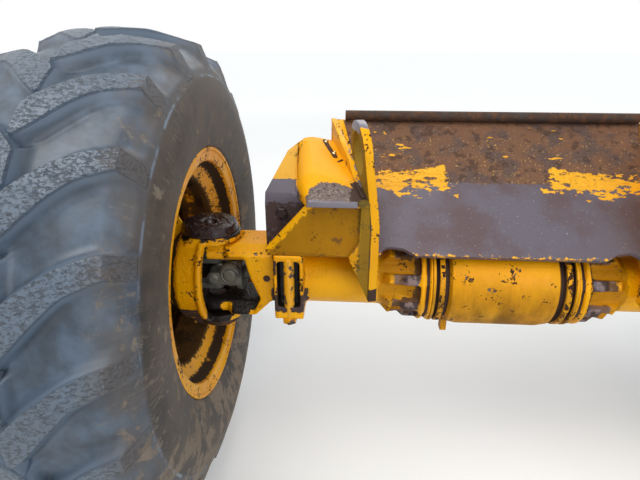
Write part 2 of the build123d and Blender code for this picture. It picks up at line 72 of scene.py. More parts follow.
mathNode, vectorNode, rangeNode, mixNode, splitNode, joinNode, noiseNode = (
    "ShaderNode" + kind
    for kind in ("Math", "VectorMath", "MapRange", "Mix", "SeparateXYZ", "CombineXYZ", "TexNoise"))
multiply, divide, add, subtract, multiplyAdd, absolute, maximum, length, dotProduct, scale = (
    {"operation": word}
    for word in ("MULTIPLY", "DIVIDE", "ADD", "SUBTRACT", "MULTIPLY_ADD", "ABSOLUTE", "MAXIMUM", "LENGTH",
                 "DOT_PRODUCT", "SCALE"))
colours, numbers = {"data_type": "RGBA"}, {"data_type": "FLOAT"}
smoothStep = {"interpolation_type": "SMOOTHSTEP"}


def startMaterial(name):
    material = bpy.data.materials.new(name)
    material.use_nodes = True
    tree = material.node_tree
    tree.nodes.clear()
    return material, tree, addNode(tree, "ShaderNodeTexCoord").outputs["Object"]


# cloudy patches about size millimetres across: noise from low to high gives 0 to 1
def patches(tree, coords, size, low, high, detail=5.0, stretch=(1, 1, 1), shift=0.0, warp=0.0):
    moved = addNode(tree, "ShaderNodeMapping", {
        "Vector": coords, "Location": (shift, shift * 0.7, -shift * 1.3), "Scale": stretch})
    field = addNode(tree, noiseNode, {
        "Vector": moved, "Scale": 1000 / size, "Detail": detail, "Roughness": 0.6, "Distortion": warp})
    return addNode(tree, rangeNode, (field, low, high), smoothStep)


def coat(tone, roughness, metal=0.0):  # tone is sRGB hex or a node
    colour = hexColour(tone) if isinstance(tone, str) else tone
    return {"colour": colour, "roughness": roughness, "metal": metal}


# lays a coat over a surface where the mask is 1, thick metres proud
def cover(tree, surface, upper, mask, thick=0.0):
    mixed = dict(surface)
    for name, under in surface.items():
        if name != "height" and under != upper[name]:
            first, settings = (6, colours) if name == "colour" else (2, numbers)
            mixed[name] = addNode(tree, mixNode, {0: mask, first: under, first + 1: upper[name]}, settings)
    if thick:
        mixed["height"] = addNode(tree, mathNode, (mask, thick, surface["height"]), multiplyAdd)
    return mixed


def finishMaterial(tree, surface, specular=0.5, soft=0.0):
    bump = {"Height": surface["height"], "Distance": 1.0, "Strength": 1.0}
    if soft:
        bump["Normal"] = addNode(tree, "ShaderNodeBevel", {"Radius": soft}, {"samples": 6})
    shader = addNode(tree, "ShaderNodeBsdfPrincipled", {
        "Base Color": surface["colour"], "Roughness": surface["roughness"], "Metallic": surface["metal"],
        "Specular IOR Level": specular, "Normal": addNode(tree, "ShaderNodeBump", bump)})
    addNode(tree, "ShaderNodeOutputMaterial", {"Surface": shader})


# what wear and dirt leave in places, and painted shade and light: sRGB hex, roughness and metallic
coats = {
    "paint": coat("f7b102", 0.35), "dullPaint": coat("f8ae00", 0.6), "paleYellow": coat("dcab45", 0.6),
    "bareSteel": coat("6b6663", 0.5, 0.75), "purpleSteel": coat("67616c", 0.42, 0.25),
    "greySteel": coat("7d7880", 0.38, 0.35), "earthSteel": coat("6e605c", 0.55, 0.2),
    "rust": coat("3a2417", 0.85), "brownRust": coat("43312a", 0.7), "brownDirtAndShade": coat("463836", 0.6, 0.1),
    "earthBrown": coat("6e4b33", 0.75), "wellDirt": coat("3b2c1b", 0.8), "grease": coat("1b1714", 0.34),
    "dimGrey": coat("2e2d28", 0.6), "olive": coat("6f5c1c", 0.75), "darkOlive": coat("7a5206", 0.7),
    "paleFleck": coat("8f8378", 0.8), "tanGrit": coat("c09a5c", 0.8),
}


# metres from the middle of the axle, the same on both sides, torn by up to ragged metres
def axleSpace(tree, coords, ragged=0.0):
    axes = addNode(tree, splitNode, (coords,)).outputs
    out = addNode(tree, mathNode, (axes["X"],), absolute)
    plain = addNode(tree, joinNode, (out, axes["Y"], axes["Z"]))
    moved = addNode(tree, vectorNode, (plain, [-ragged / 2 - at for at in axleAt]), add)
    if not ragged:
        return moved
    torn = addNode(tree, noiseNode, {"Vector": coords, "Scale": 80.0, "Detail": 6.0, "Roughness": 0.7})
    return addNode(tree, vectorNode, (torn.outputs["Color"], (ragged,) * 3, moved), multiplyAdd)


# 1 where every limit of a worn area is met. box: two corners in axle millimetres and a reach round them;
# ring: the same in (across, radius); past: planes as (spot, way); faces: way the surface looks, low, high;
# torn: patches as (size, low, high)
def wornMask(tree, coords, spaces, facing, area):
    space = spaces["crisp" if area.get("crisp") else "torn"]
    edge = (1.2, -0.2)  # millimetres beyond the reach where a box fades out and in
    plane = 0.0007  # metres either side of a plane
    masks = []
    boxes = [(space, area["box"])] if "box" in area else []
    if "ring" in area:
        low, high, reach = area["ring"]
        axes = addNode(tree, splitNode, (space,)).outputs
        flat = addNode(tree, joinNode, {1: axes["Y"], 2: axes["Z"]})
        turned = addNode(tree, joinNode, (axes["X"], addNode(tree, vectorNode, (flat,), length)))
        boxes.append((turned, ((*low, -1), (*high, 1), reach)))
    for spot, (low, high, reach) in boxes:
        centre = [(a + b) / 2000 for a, b in zip(low, high)]
        half = [(b - a) / 2000 for a, b in zip(low, high)]
        away = addNode(tree, vectorNode, (spot, centre), subtract)
        away = addNode(tree, vectorNode, (away,), absolute)
        away = addNode(tree, vectorNode, (away, half), subtract)
        away = addNode(tree, vectorNode, (away,), maximum)
        far = addNode(tree, vectorNode, (away,), length)
        masks.append(addNode(tree, rangeNode, (far, *((reach + more) / 1000 for more in edge))))
    for spot, way in area.get("past", ()):
        away = addNode(tree, vectorNode, (space, Vector(spot) / 1000), subtract)
        along = addNode(tree, vectorNode, (away, Vector(way).normalized()), dotProduct)
        masks.append(addNode(tree, rangeNode, (along, -plane, plane)))
    if "faces" in area:
        way, low, high = area["faces"]
        along = addNode(tree, vectorNode, (facing, Vector(way).normalized()), dotProduct)
        masks.append(addNode(tree, rangeNode, (along, low, high)))
    if "torn" in area:
        masks.append(patches(tree, coords, *area["torn"], detail=6, stretch=area.get("stretch", (1, 1, 1)),
                             shift=area.get("shift", 3.3)))
    mask = area.get("amount", 1.0)
    for one in masks:
        mask = addNode(tree, mathNode, (one, mask), multiply)
    return mask


def wornAreas(tree, coords, surface, areas, ragged):
    spaces = {"crisp": axleSpace(tree, coords), "torn": axleSpace(tree, coords, ragged)}
    across = addNode(tree, splitNode, (coords,)).outputs["X"]
    side = addNode(tree, mathNode, (across,), {"operation": "SIGN"})
    normal = addNode(tree, "ShaderNodeNewGeometry").outputs["Normal"]
    facing = addNode(tree, vectorNode, (normal, addNode(tree, joinNode, (side, 1.0, 1.0))), multiply)
    for area in areas:
        mask = wornMask(tree, coords, spaces, facing, area)
        surface = cover(tree, surface, coats[area["coat"]], mask, area.get("thick", 0.0))
    return surface


# Yellow machinery enamel

# enamel brushed on steel: saturated gloss that chips to rust at edges, with a film of grime and painted shade
# on upright faces
def enamelOverSteel(name, look):
    material, tree, coords = startMaterial(name)
    surface = dict(coats["rust"], height=0.0)
    surface = cover(tree, surface, coats["bareSteel"], patches(tree, coords, 30, 0.55, 0.62, shift=3.1))
    # where the enamel is gone: cloudy noise, raised on corners that stand out or in
    soft = addNode(tree, "ShaderNodeBevel", {"Radius": look["edgeRadius"]}, {"samples": 8})
    flat = addNode(tree, "ShaderNodeNewGeometry").outputs["Normal"]
    edges = addNode(tree, rangeNode, (addNode(tree, vectorNode, (soft, flat), dotProduct), 0.985, 0.80))
    grain = patches(tree, coords, 7, 0.3, 0.7, detail=6)
    broad = patches(tree, coords, look["chipSize"], 0.25, 0.75, detail=4, shift=1.7)
    field = addNode(tree, mixNode, {0: 0.45, 2: broad, 3: grain}, numbers)
    field = addNode(tree, mathNode, (edges, look["edgeChips"], field), multiplyAdd)
    kept = addNode(tree, rangeNode, (field, look["chips"] + 0.04, look["chips"]), smoothStep)
    tone = addNode(tree, mixNode, {
        0: patches(tree, coords, 160, 0.3, 0.7, shift=5.3), 6: hexColour(look["paint"]),
        7: hexColour(look["paintDark"])}, colours)
    gloss = addNode(tree, rangeNode, {
        0: patches(tree, coords, 45, 0.3, 0.7, shift=7.9), 3: look["gloss"], 4: look["gloss"] + 0.22})
    surface = cover(tree, surface, coat(tone, gloss), kept, 0.0004)
    # film of dirt on faces that rain doesn't wash, with painted shade: olive, stronger the more upright the
    # face, then rust specks
    facing = addNode(tree, splitNode, (flat,)).outputs["Z"]
    uprightGrimeAndShade = addNode(tree, rangeNode, {0: facing, 1: 0.65, 2: -0.1, 4: look["grimeAndShade"]})
    film = addNode(tree, rangeNode, {
        0: patches(tree, coords, 60, 0.25, 0.75, detail=7, stretch=(1, 1, 0.4), shift=9.1), 3: 0.3})
    surface = cover(tree, surface, coats["darkOlive"], addNode(tree, mathNode, (film, uprightGrimeAndShade), multiply))
    surface = cover(tree, surface, coats["rust"], patches(tree, coords, 4, 0.71, 0.76, detail=2, shift=11.0))
    surface = wornAreas(tree, coords, surface, look["worn"], look["ragged"])
    peel = patches(tree, coords, look["peelSize"], 0.2, 0.8, detail=2, shift=15.0)
    surface["height"] = addNode(tree, mathNode, (peel, look["peel"], surface["height"]), multiplyAdd)
    finishMaterial(tree, surface, look["specular"], look["soft"])
    return material


# chipSize and peelSize are millimetres; edgeRadius, peel, soft and ragged are metres. Real brush marks and
# sand grain are too fine to show here, so peelSize draws them coarser
plateLook = {"paint": "fdb702", "paintDark": "f0a600", "chips": 0.73, "chipSize": 60, "edgeRadius": 0.005,
             "edgeChips": 0.26, "gloss": 0.3, "specular": 0.22, "grimeAndShade": 0.45, "peelSize": 5, "peel": 0.00012,
             "soft": 0.0015, "ragged": 0.022, "worn": []}
shelfFront = ((490, -60, 105), (600, -46, 212), 4)
shelfDirt = ((416, -130, 248), (421, -120, 262))
shelfPanel = ((330, -118, 90), (600, -95, 236), 2)
saddleLook = dict(plateLook, ragged=0.034, gloss=0.42, worn=[
    # paler yellow on the shelf's up-facing faces: painted light from above
    {"coat": "paleYellow", "box": ((505, -10, 236), (600, 260, 330), 4), "faces": ((0, 0, 1), 0.6, 0.8),
     "amount": 0.6},
    {"coat": "purpleSteel", "box": ((505, -60, 216), (600, 20, 262), 8), "thick": -0.0004},
    # the shelf's front face is painted brown as its shade, then worn to purple steel
    {"coat": "brownDirtAndShade", "box": shelfFront, "thick": -0.0002},
    {"coat": "purpleSteel", "box": shelfFront, "torn": (16, 0.52, 0.64), "amount": 0.5},
    {"coat": "dullPaint", "box": ((400, -85, 256), (512, 262, 326), 6), "torn": (30, 0.24, 0.28)},
    # earth lying on the shelf, with pale and dark grit in it
    {"coat": "earthSteel", "box": (*shelfDirt, 60), "past": [((0, 0, 246), (0, 0, 1))], "thick": -0.0004},
    {"coat": "paleFleck", "box": (*shelfDirt, 56), "torn": (6, 0.52, 0.58),
     "past": [((0, -100, 250), (0, 0, 1))]},
    {"coat": "brownDirtAndShade", "box": (*shelfDirt, 56), "torn": (9, 0.56, 0.62), "shift": 9.9,
     "past": [((0, -100, 250), (0, 0, 1))]},
    {"coat": "brownRust", "box": ((340, -140, 244), (372, -52, 290), 6)},
    # front panel under the shelf: shaded, stained, and rusty along its slanted lower edge
    {"coat": "darkOlive", "box": shelfPanel, "crisp": True, "amount": 0.66},
    {"coat": "brownRust", "box": shelfPanel, "torn": (26, 0.58, 0.66), "amount": 0.6},
    {"coat": "rust", "past": [((578, -110, 112), (0.748, 0, 0.664))],
     "box": ((460, -118, 90), (600, -99, 237), 2)},
    {"coat": "paint", "past": [((573, -110, 110), (0.748, 0, 0.664))],
     "box": ((460, -118, 90), (600, -99, 240), 3), "torn": (14, 0.34, 0.38)},
    # olive down the face beside the eye plate's front edge: stain, and painted shade
    {"coat": "olive", "box": ((325, -140, -10), (356, -112, 250), 3), "amount": 0.75},
    {"coat": "greySteel", "box": ((366, -140, 236), (476, -124, 249), 2), "crisp": True},
    {"coat": "greySteel", "box": ((300, -60, 250), (450, 262, 420), 2), "faces": ((0, -0.4, 1), 0.75, 0.85),
     "past": [((362, -45, 0), (-245, 55, 0))], "torn": (24, 0.45, 0.50), "thick": -0.0002}])
eyeLook = dict(plateLook, chips=0.70, grimeAndShade=0.1, worn=[
    # olive round the eye's hole and in its bore, and on the outboard faces: stain with painted shade
    {"coat": "olive", "box": ((355, -31, 336), (356, -30, 338), 51.5), "crisp": True, "amount": 0.85},
    {"coat": "olive", "faces": ((1, -0.2, 0), 0.75, 0.85), "torn": (60, 0.2, 0.4), "stretch": (1, 1, 0.3),
     "amount": 0.8},
    {"coat": "greySteel", "box": ((300, -60, 396), (400, 60, 420), 8), "thick": -0.0003},
    {"coat": "purpleSteel", "faces": ((1, 0, 0), 0.1, 0.3), "box": ((318, -140, 90), (346, -119, 240), 4),
     "torn": (24, 0.45, 0.5)},
    {"coat": "brownRust", "box": ((300, -140, -10), (345, -120, 26), 2), "thick": -0.0003}])
castLook = dict(plateLook, paint="fbb402", paintDark="ee9f00", chips=0.75, chipSize=50, edgeRadius=0.008,
                edgeChips=0.14, peelSize=7, peel=0.0008, soft=0.0, grimeAndShade=0.12, worn=[
    {"coat": "paint", "box": ((300, -90, -90), (480, 90, 90), 8), "torn": (40, 0.2, 0.24)},
    # the yoke's window is painted dim grey inside, dust and painted shade, and caked with grease at its foot
    {"coat": "dimGrey", "box": ((575, -70, -100), (764, 70, 52), 2)},
    {"coat": "dimGrey", "ring": ((745, 0), (832, 119), 2)},
    {"coat": "grease", "box": ((600, -98, -160), (778, 98, -56), 3), "past": [((608, -80, -36), (50, 0, 32))],
     "torn": (34, 0.26, 0.30), "thick": 0.0015},
    {"coat": "paint", "box": ((694, -120, -84), (708, -40, -72), 8), "torn": (20, 0.30, 0.35)},
    {"coat": "paint", "box": ((655, -120, -126), (690, -30, -108), 4), "torn": (13, 0.45, 0.50)},
    {"coat": "brownRust", "box": ((770, -200, -200), (900, 200, -62), 8), "torn": (22, 0.36, 0.44),
     "thick": 0.001},
    {"coat": "grease", "box": ((664, -88, 118), (806, 88, 126), 3), "torn": (30, 0.42, 0.5)},
    # mounting pad
    {"coat": "brownDirtAndShade", "box": ((490, -130, -42), (566, 96, -10), 8), "torn": (24, 0.26, 0.32),
     "thick": 0.0015},
    {"coat": "paint", "box": ((480, -130, -80), (570, 96, -54), 2), "torn": (18, 0.36, 0.42)},
    # inside the pad's pocket: grease, with the pocket's shade painted in
    {"coat": "grease", "box": ((495, -110, -44), (558, 85, 94), 1), "crisp": True},
    {"coat": "brownRust", "box": ((558, -118, -80), (567, 96, 100), 2), "torn": (26, 0.46, 0.52)},
    # flange fingers against the centre casing
    {"coat": "brownRust", "ring": ((181, 0), (187, 104), 0.5), "crisp": True},
    {"coat": "brownRust", "ring": ((196, 0), (212, 100), 2), "torn": (40, 0.3, 0.4)},
    {"coat": "purpleSteel", "ring": ((210, 88), (262, 130), 2), "torn": (44, 0.30, 0.36), "amount": 0.9},
    {"coat": "brownDirtAndShade", "ring": ((206, 84), (266, 130), 2), "torn": (26, 0.46, 0.56)},
    # olive over the neck beside the casing: painted shade under the deck
    {"coat": "darkOlive", "ring": ((205, 0), (300, 90), 3), "amount": 0.45}])
# the upright film is near full on the casing: dirt, and painted shade under the deck
casingLook = dict(castLook, peelSize=5, peel=0.0003, grimeAndShade=0.95, worn=[
    {"coat": "brownRust", "ring": ((133, 0), (143, 104), 0.5), "crisp": True},
    {"coat": "brownRust", "ring": ((157, 0), (165, 104), 0.5), "crisp": True},
    {"coat": "rust", "ring": ((146, 104), (154, 130), 1), "torn": (16, 0.5, 0.55)}])
rimLook = dict(plateLook, grimeAndShade=0.12, paint="fbb404", paintDark="ec9f00", chips=0.70, chipSize=80,
               peel=0.0002, worn=[
    {"coat": "wellDirt", "box": ((766, -400, -400), (789, 400, 400), 3), "torn": (90, 0.22, 0.32)},
    {"coat": "wellDirt", "box": ((811, -400, -400), (956, 400, 400), 3), "torn": (80, 0.32, 0.40),
     "amount": 0.94},
    {"coat": "grease", "box": ((836, -400, -400), (956, 400, 400), 8), "torn": (130, 0.42, 0.55),
     "amount": 0.8}])

# smooth, even yellow with sharp chips at the edges
enamelPlate = enamelOverSteel("worn enamel on steel plate", plateLook)
# the same yellow over sand-cast grain, so its shine breaks up
enamelCasting = enamelOverSteel("worn enamel on cast iron", castLook)
# finer grain under a heavy brown film: dirt, and painted shade from the deck above
enamelCasing = enamelOverSteel("dirty enamel with painted shade on the centre casing", casingLook)
# clean yellow on the flanges, with brown dirt lying in the wells
enamelRim = enamelOverSteel("worn enamel on pressed steel", rimLook)
# dull yellow that boots have worn to grey and purple steel
enamelSaddle = enamelOverSteel("worn enamel on the welded saddle", saddleLook)
# yellow edges round olive faces, stained and painted in shade
enamelEye = enamelOverSteel("worn enamel on the eye plates", eyeLook)


# Tyre rubber

# carbon-black rubber, moulded and weathered: dull cracked crowns and smoother voids, both painted blue-grey
# as the sky's reflection, and sidewalls scuffed and splashed with dried mud
def rubber(name):
    material, tree, coords = startMaterial(name)
    across = addNode(tree, splitNode, (coords,)).outputs["X"]
    fromAxle = addNode(tree, vectorNode, (coords, (0, -axleAt[1], -axleAt[2])), add)
    about = addNode(tree, splitNode, (fromAxle,)).outputs
    flat = addNode(tree, joinNode, {1: about["Y"], 2: about["Z"]})
    radius = addNode(tree, vectorNode, (flat,), length)
    turn = addNode(tree, mathNode, (about["Y"], about["Z"]), {"operation": "ARCTAN2"})
    turned = addNode(tree, mathNode, (turn, 0.5), multiply)
    wheelCoords = addNode(tree, joinNode, (across, turned, radius))
    lug = addNode(tree, "ShaderNodeAttribute", (), {"attribute_name": "lug"}).outputs["Fac"]
    wall = addNode(tree, "ShaderNodeAttribute", (), {"attribute_name": "sidewall"}).outputs["Fac"]
    # voids, then the lugs' flanks, then their crowns: blue-grey as a painted sky reflection, flanks lighter
    # as a painted highlight
    voidTone = addNode(tree, mixNode, {
        0: patches(tree, coords, 55, 0.3, 0.7), 6: hexColour("38434f"), 7: hexColour("566678")}, colours)
    surface = dict(coat(voidTone, 0.42), height=0.0)
    surface = cover(tree, surface, coat("586778", 0.42), addNode(tree, rangeNode, (lug, 0.25, 0.6)))
    cracks = patches(tree, wheelCoords, 8, 0.36, 0.50, detail=7, stretch=(0.75, 1.8, 1), warp=0.4, shift=2.0)
    pits = patches(tree, coords, 6, 0.36, 0.48, detail=4, shift=4.0)
    crownTone = addNode(tree, mixNode, {0: cracks, 6: hexColour("474f59"), 7: hexColour("5f6c7b")}, colours)
    crown = addNode(tree, rangeNode, (lug, 0.80, 0.97))
    surface = cover(tree, surface, coat(crownTone, 0.42), crown)
    rough = addNode(tree, mixNode, {0: 0.5, 2: cracks, 3: pits}, numbers)
    rough = addNode(tree, mathNode, (rough, 0.0023), multiply)
    surface["height"] = addNode(tree, mathNode, (rough, crown), multiply)
    wallTone = addNode(tree, mixNode, {
        0: patches(tree, coords, 90, 0.35, 0.65, shift=5.0), 6: hexColour("232425"), 7: hexColour("343231")},
        colours)
    surface = cover(tree, surface, coat(wallTone, 0.6), wall)
    # the lugs' outer ends and the voids between them catch dust
    out = addNode(tree, mathNode, (across,), absolute)
    out = addNode(tree, mathNode, (out, wheelMiddle / 1000), subtract)
    out = addNode(tree, mathNode, (out,), absolute)
    out = addNode(tree, rangeNode, (out, 0.120, 0.172))
    dust = addNode(tree, mathNode, (out, patches(tree, coords, 80, 0.30, 0.60, detail=5, shift=17.0)),
                   multiply)
    dust = addNode(tree, mathNode, (dust, 0.6), multiply)
    surface = cover(tree, surface, coat("5c5249", 0.7), dust)
    # scuffs run out from the rim and break up; splashes of tan mud lie over them, thickest low down
    scuffs = patches(tree, wheelCoords, 15, 0.50, 0.68, detail=8, stretch=(1, 2.2, 0.45), warp=0.5, shift=6.0)
    scuffs = addNode(tree, mathNode, (scuffs, patches(tree, coords, 70, 0.45, 0.62, detail=4, shift=7.0)),
                     multiply)
    low = addNode(tree, rangeNode, (about["Z"], 0.35, -0.45, -0.05, 0.09))
    grainy = addNode(tree, noiseNode, {
        "Vector": wheelCoords, "Scale": 16.0, "Detail": 9.0, "Roughness": 0.68, "Distortion": 0.3})
    splash = addNode(tree, mathNode, (grainy, low), add)
    splash = addNode(tree, rangeNode, {0: splash, 1: 0.55, 2: 0.60, 4: 0.8})
    muddy = addNode(tree, mathNode, (out, wall), maximum)
    for mask, upper, thick in ((scuffs, coat("6e665d", 0.8), 0.0), (splash, coat("877a6b", 0.95), 0.0006)):
        surface = cover(tree, surface, upper, addNode(tree, mathNode, (mask, muddy), multiply), thick)
    # the shoulder's lower edge is rubbed bright in places, in blue-grey that is partly a painted sky sheen
    rubAndSheen = addNode(tree, rangeNode, (wall, 0.30, 0.36))
    rubAndSheen = addNode(tree, mathNode, (rubAndSheen, addNode(tree, rangeNode, (wall, 0.75, 0.62))), multiply)
    rubAndSheen = addNode(tree, mathNode, (rubAndSheen, patches(tree, coords, 60, 0.47, 0.62, detail=3, shift=13.0)),
                  multiply)
    surface = cover(tree, surface, coat("6d7987", 0.4), rubAndSheen)
    film = addNode(tree, rangeNode, {0: patches(tree, coords, 120, 0.5, 0.7, shift=10.0), 4: 0.2})
    surface = cover(tree, surface, coat("4f4437", 0.8), film)
    finishMaterial(tree, surface)
    return material


tyreRubber = rubber("weathered tyre rubber")


# Bare steel, rust and mud

# a base with patchy layers over it, each a coat, size, low, high and thickness; peel is the size of the
# grain, drawn coarser than the real one so that it shows, and its depth
def layered(name, base, layers, peel, specular=0.5, soft=0.0, worn=()):
    material, tree, coords = startMaterial(name)
    surface = dict(base, height=0.0)
    for number, (upper, size, low, high, thick) in enumerate(layers):
        mask = patches(tree, coords, size, low, high, detail=7, shift=number * 2.3 + 1)
        surface = cover(tree, surface, upper, mask, thick)
    if worn:
        surface = wornAreas(tree, coords, surface, worn, 0.03)
    grain = patches(tree, coords, peel[0], 0.2, 0.8, detail=4, shift=21.0)
    surface["height"] = addNode(tree, mathNode, (grain, peel[1], surface["height"]), multiplyAdd)
    finishMaterial(tree, surface, specular, soft)
    return material


# mill plate polished by boots to purple grey at the front, under brown earth at the back, with the last torn
# patches of yellow between
deckBack = ((-10, 78, 200), (440, 300, 440), 1)
deckSteel = layered("deck plate worn to purple-grey steel", coat("625c67", 0.36, 0.3), [
    (coat("574549", 0.45, 0.15), 140, 0.42, 0.66, 0.0), (coat("a39a94", 0.6, 0.2), 5, 0.64, 0.70, 0.0003),
], (3, 0.0004), soft=0.0015, worn=[
    {"coat": "earthBrown", "box": deckBack, "thick": -0.0002},
    {"coat": "brownDirtAndShade", "box": deckBack, "torn": (60, 0.45, 0.62), "amount": 0.75},
    {"coat": "tanGrit", "box": ((-10, 74, 200), (440, 200, 440), 1), "torn": (6, 0.60, 0.64),
     "thick": 0.0008},
    {"coat": "paleFleck", "box": deckBack, "torn": (7, 0.64, 0.68), "amount": 0.8, "shift": 6.1},
    {"coat": "rust", "box": deckBack, "torn": (26, 0.52, 0.62), "amount": 0.7},
    {"coat": "paint", "past": [((300, 64, 0), (0, 1, 0)), ((320, 90, 0), (-0.17, -1, 0)),
                               ((0, 121, 0), (0, -1, 0))],
     "box": ((134, 40, 0), (450, 160, 440), 1), "torn": (20, 0.430, 0.450), "stretch": (0.5, 1, 1),
     "thick": 0.0006},
    {"coat": "paint", "past": [((300, 54, 0), (0, 1, 0))], "box": ((128, 40, 0), (450, 104, 440), 1),
     "torn": (11, 0.53, 0.55), "stretch": (0.6, 1, 1), "thick": 0.0006},
    {"coat": "paint", "box": ((110, 40, 200), (300, 62, 240), 4), "torn": (30, 0.58, 0.60),
     "stretch": (0.4, 1, 1), "shift": 6.6, "thick": 0.0006},
    {"coat": "paint", "box": ((-10, 120, 200), (440, 260, 440), 1), "torn": (34, 0.655, 0.67),
     "stretch": (0.35, 1, 1), "shift": 8.8, "thick": 0.0006},
    {"coat": "paint", "past": [((0, -97, 0), (0, -1, 0))], "box": ((-10, -120, 100), (330, -60, 130), 1),
     "torn": (12, 0.5, 0.55)}])
# clay and grease that stay wet: near black, with small highlights on every lump; on the shelf's bolt it also
# stands for the painted shade of the hole round it
wetMud = layered("wet dark mud", coat("2a1e1f", 0.24), [(coat("3a2b29", 0.5), 14, 0.5, 0.6, 0.0004)],
                 (5, 0.0006), specular=0.3)
# iron rusted in the open: dull, deep brown with orange clouds
rustyIron = layered("rusted cast iron", coat("3b281d", 0.8), [
    (coat("5a3a22", 0.85), 18, 0.45, 0.65, 0.0004), (coat("2a211c", 0.6), 40, 0.5, 0.65, 0.0006)],
    (4, 0.0006))
# forged steel under old grease: flat grey-green with dark smears
greyForging = layered("greasy steel forging", coat("67655b", 0.5, 0.2), [
    (coat("3a3732", 0.6), 35, 0.5, 0.68, 0.0004), (coat("7d7a6e", 0.5, 0.3), 12, 0.58, 0.72, 0.0)],
    (5, 0.0003))
# hard chrome, ground smooth: a clear bright mirror with a few dried smears
chromeBar = layered("hard chromed bar", coat("b9bcc0", 0.12, 1.0), [
    (coat("6b5a48", 0.7), 60, 0.62, 0.75, 0.0)], (30, 0.0))
# rolled bolt steel left outdoors: brown-grey, with rust and a little overspray
dullBolt = layered("weathered bolt steel", coat("7d7467", 0.55, 0.6), [
    (coat("4a3526", 0.85), 9, 0.45, 0.6, 0.0002), (coat("d79a10", 0.5), 26, 0.55, 0.6, 0.0002)], (3, 0.0002))
# studs painted over with the axle: yellow, dark where hands and grease reach
studPaint = layered("painted stud, dirty", coat("e6a20a", 0.5), [
    (coat("463836", 0.7), 22, 0.52, 0.56, 0.0004), (coat("3a2417", 0.85), 6, 0.62, 0.68, 0.0)], (3, 0.0002))
# zinc plate that still shines, straw coloured, with dark spots
brightStud = layered("bright zinc stud", coat("b8ab8a", 0.25, 0.9), [
    (coat("3a2a20", 0.7), 6, 0.56, 0.64, 0.0)], (2, 0.0001))
print("stage: materials made")


# Mesh helpers

def newPiece(name, mesh, material, body, stands=()):
    mesh.materials.clear()
    mesh.materials.append(material)
    piece = bpy.data.objects.new(name, mesh)
    bpy.context.scene.collection.objects.link(piece)
    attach(piece, body)
    if stands:
        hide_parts(*stands)
    return piece


def smoothShade(mesh, angle=35):
    mesh.shade_smooth()
    mesh.set_sharp_from_angle(angle=math.radians(angle))


def forSide(mesh, sign):  # a copy for one side of the machine, turned over for the right one
    other = mesh.copy()
    if sign < 0:
        other.transform(Matrix.Scale(-1, 4, (1, 0, 0)))
        other.flip_normals()
    return other


def tableAt(table, x, column):
    for low, high in zip(table, table[1:]):
        if x <= high[0]:
            share = max(0.0, (x - low[0]) / (high[0] - low[0]))
            return low[column] + (high[column] - low[column]) * share
    return table[-1][column]


def closedMesh(shell, name):
    bmesh.ops.recalc_face_normals(shell, faces=shell.faces)
    mesh = bpy.data.meshes.new(name)
    shell.to_mesh(mesh)
    shell.free()
    return mesh


# skin through rings of places, where a ring may be one place: closed joins the last ring to the first one,
# capped fills both ends
def ringSkin(name, rings, closed=False, capped=False):
    shell = bmesh.new()
    loops = [[shell.verts.new(spot) for spot in ring] for ring in rings]
    for ring, after in zip(loops, loops[1:] + (loops[:1] if closed else [])):
        steps = max(len(ring), len(after))
        for k in range(steps if steps > 1 else 0):
            j = (k + 1) % steps
            corners = [ring[k % len(ring)], ring[j % len(ring)], after[j % len(after)], after[k % len(after)]]
            shell.faces.new([corner for n, corner in enumerate(corners) if corner not in corners[:n]])
    if capped:
        shell.faces.new(loops[0])
        shell.faces.new(loops[-1])
    return closedMesh(shell, name)


def rounded(points, soft, steps=3):  # closed outline with its corners eased by soft millimetres
    eased = []
    for before, corner, after in zip(points[-1:] + points[:-1], points, points[1:] + points[:1]):
        corner = Vector(corner)
        legs = [Vector(before) - corner, Vector(after) - corner]
        onLine = corner.y < 1e-6
        straight = legs[0].normalized().dot(legs[1].normalized()) < -0.97
        if onLine or straight:
            eased.append(corner)
            continue
        cut = min(soft, legs[0].length * 0.4, legs[1].length * 0.4)
        ends = [corner + leg.normalized() * cut for leg in legs]
        for step in range(steps + 1):
            t = step / steps
            eased.append(ends[0] * (1 - t) ** 2 + corner * 2 * t * (1 - t) + ends[1] * t ** 2)
    return eased


# closed outline of (distance along, radius) in millimetres, turned about a line
def turnedMesh(name, outline, origin, along=(1, 0, 0), soft=2.0, steps=96):
    line = Vector(along).normalized()
    across = Vector((0, 0, 1)) if abs(line.z) < 0.5 else Vector((0, 1, 0))
    third = line.cross(across)
    turns = [2 * math.pi * k / steps for k in range(steps)]
    rings = []
    for distance, radius in rounded(outline, soft):
        centre = Vector(origin) + line * distance
        rings.append([place(*(centre + (across * math.cos(a) + third * math.sin(a)) * radius))
                      for a in (turns if radius > 0.01 else turns[:1])])
    mesh = ringSkin(name, rings, closed=True)
    smoothShade(mesh)
    return mesh


# plain mesh of an object with its modifiers applied; they and then the object itself are removed
def evaluatedMesh(piece, name):
    bpy.context.view_layer.update()
    result = bpy.data.meshes.new_from_object(piece.evaluated_get(bpy.context.evaluated_depsgraph_get()))
    piece.modifiers.clear()
    bpy.data.objects.remove(piece)
    result.name = name
    return result


# mesh after each (modifier type, settings) in turn
def modified(mesh, name, *recipes):
    piece = bpy.data.objects.new(name, mesh)
    bpy.context.scene.collection.objects.link(piece)
    for kind, settings in recipes:
        modifier = piece.modifiers.new(kind.lower(), kind)
        for key, value in settings.items():
            setattr(modifier, key, value)
    return evaluatedMesh(piece, name)


def startTree(name, sockets):  # Geometry Nodes tree, and the sockets of its named inputs
    tree = bpy.data.node_groups.new(name, "GeometryNodeTree")
    tree.interface.new_socket("Geometry", in_out="OUTPUT", socket_type="NodeSocketGeometry")
    for label, kind in sockets.items():
        tree.interface.new_socket(label, in_out="INPUT", socket_type="NodeSocket" + kind)
    return tree, addNode(tree, "NodeGroupInput").outputs


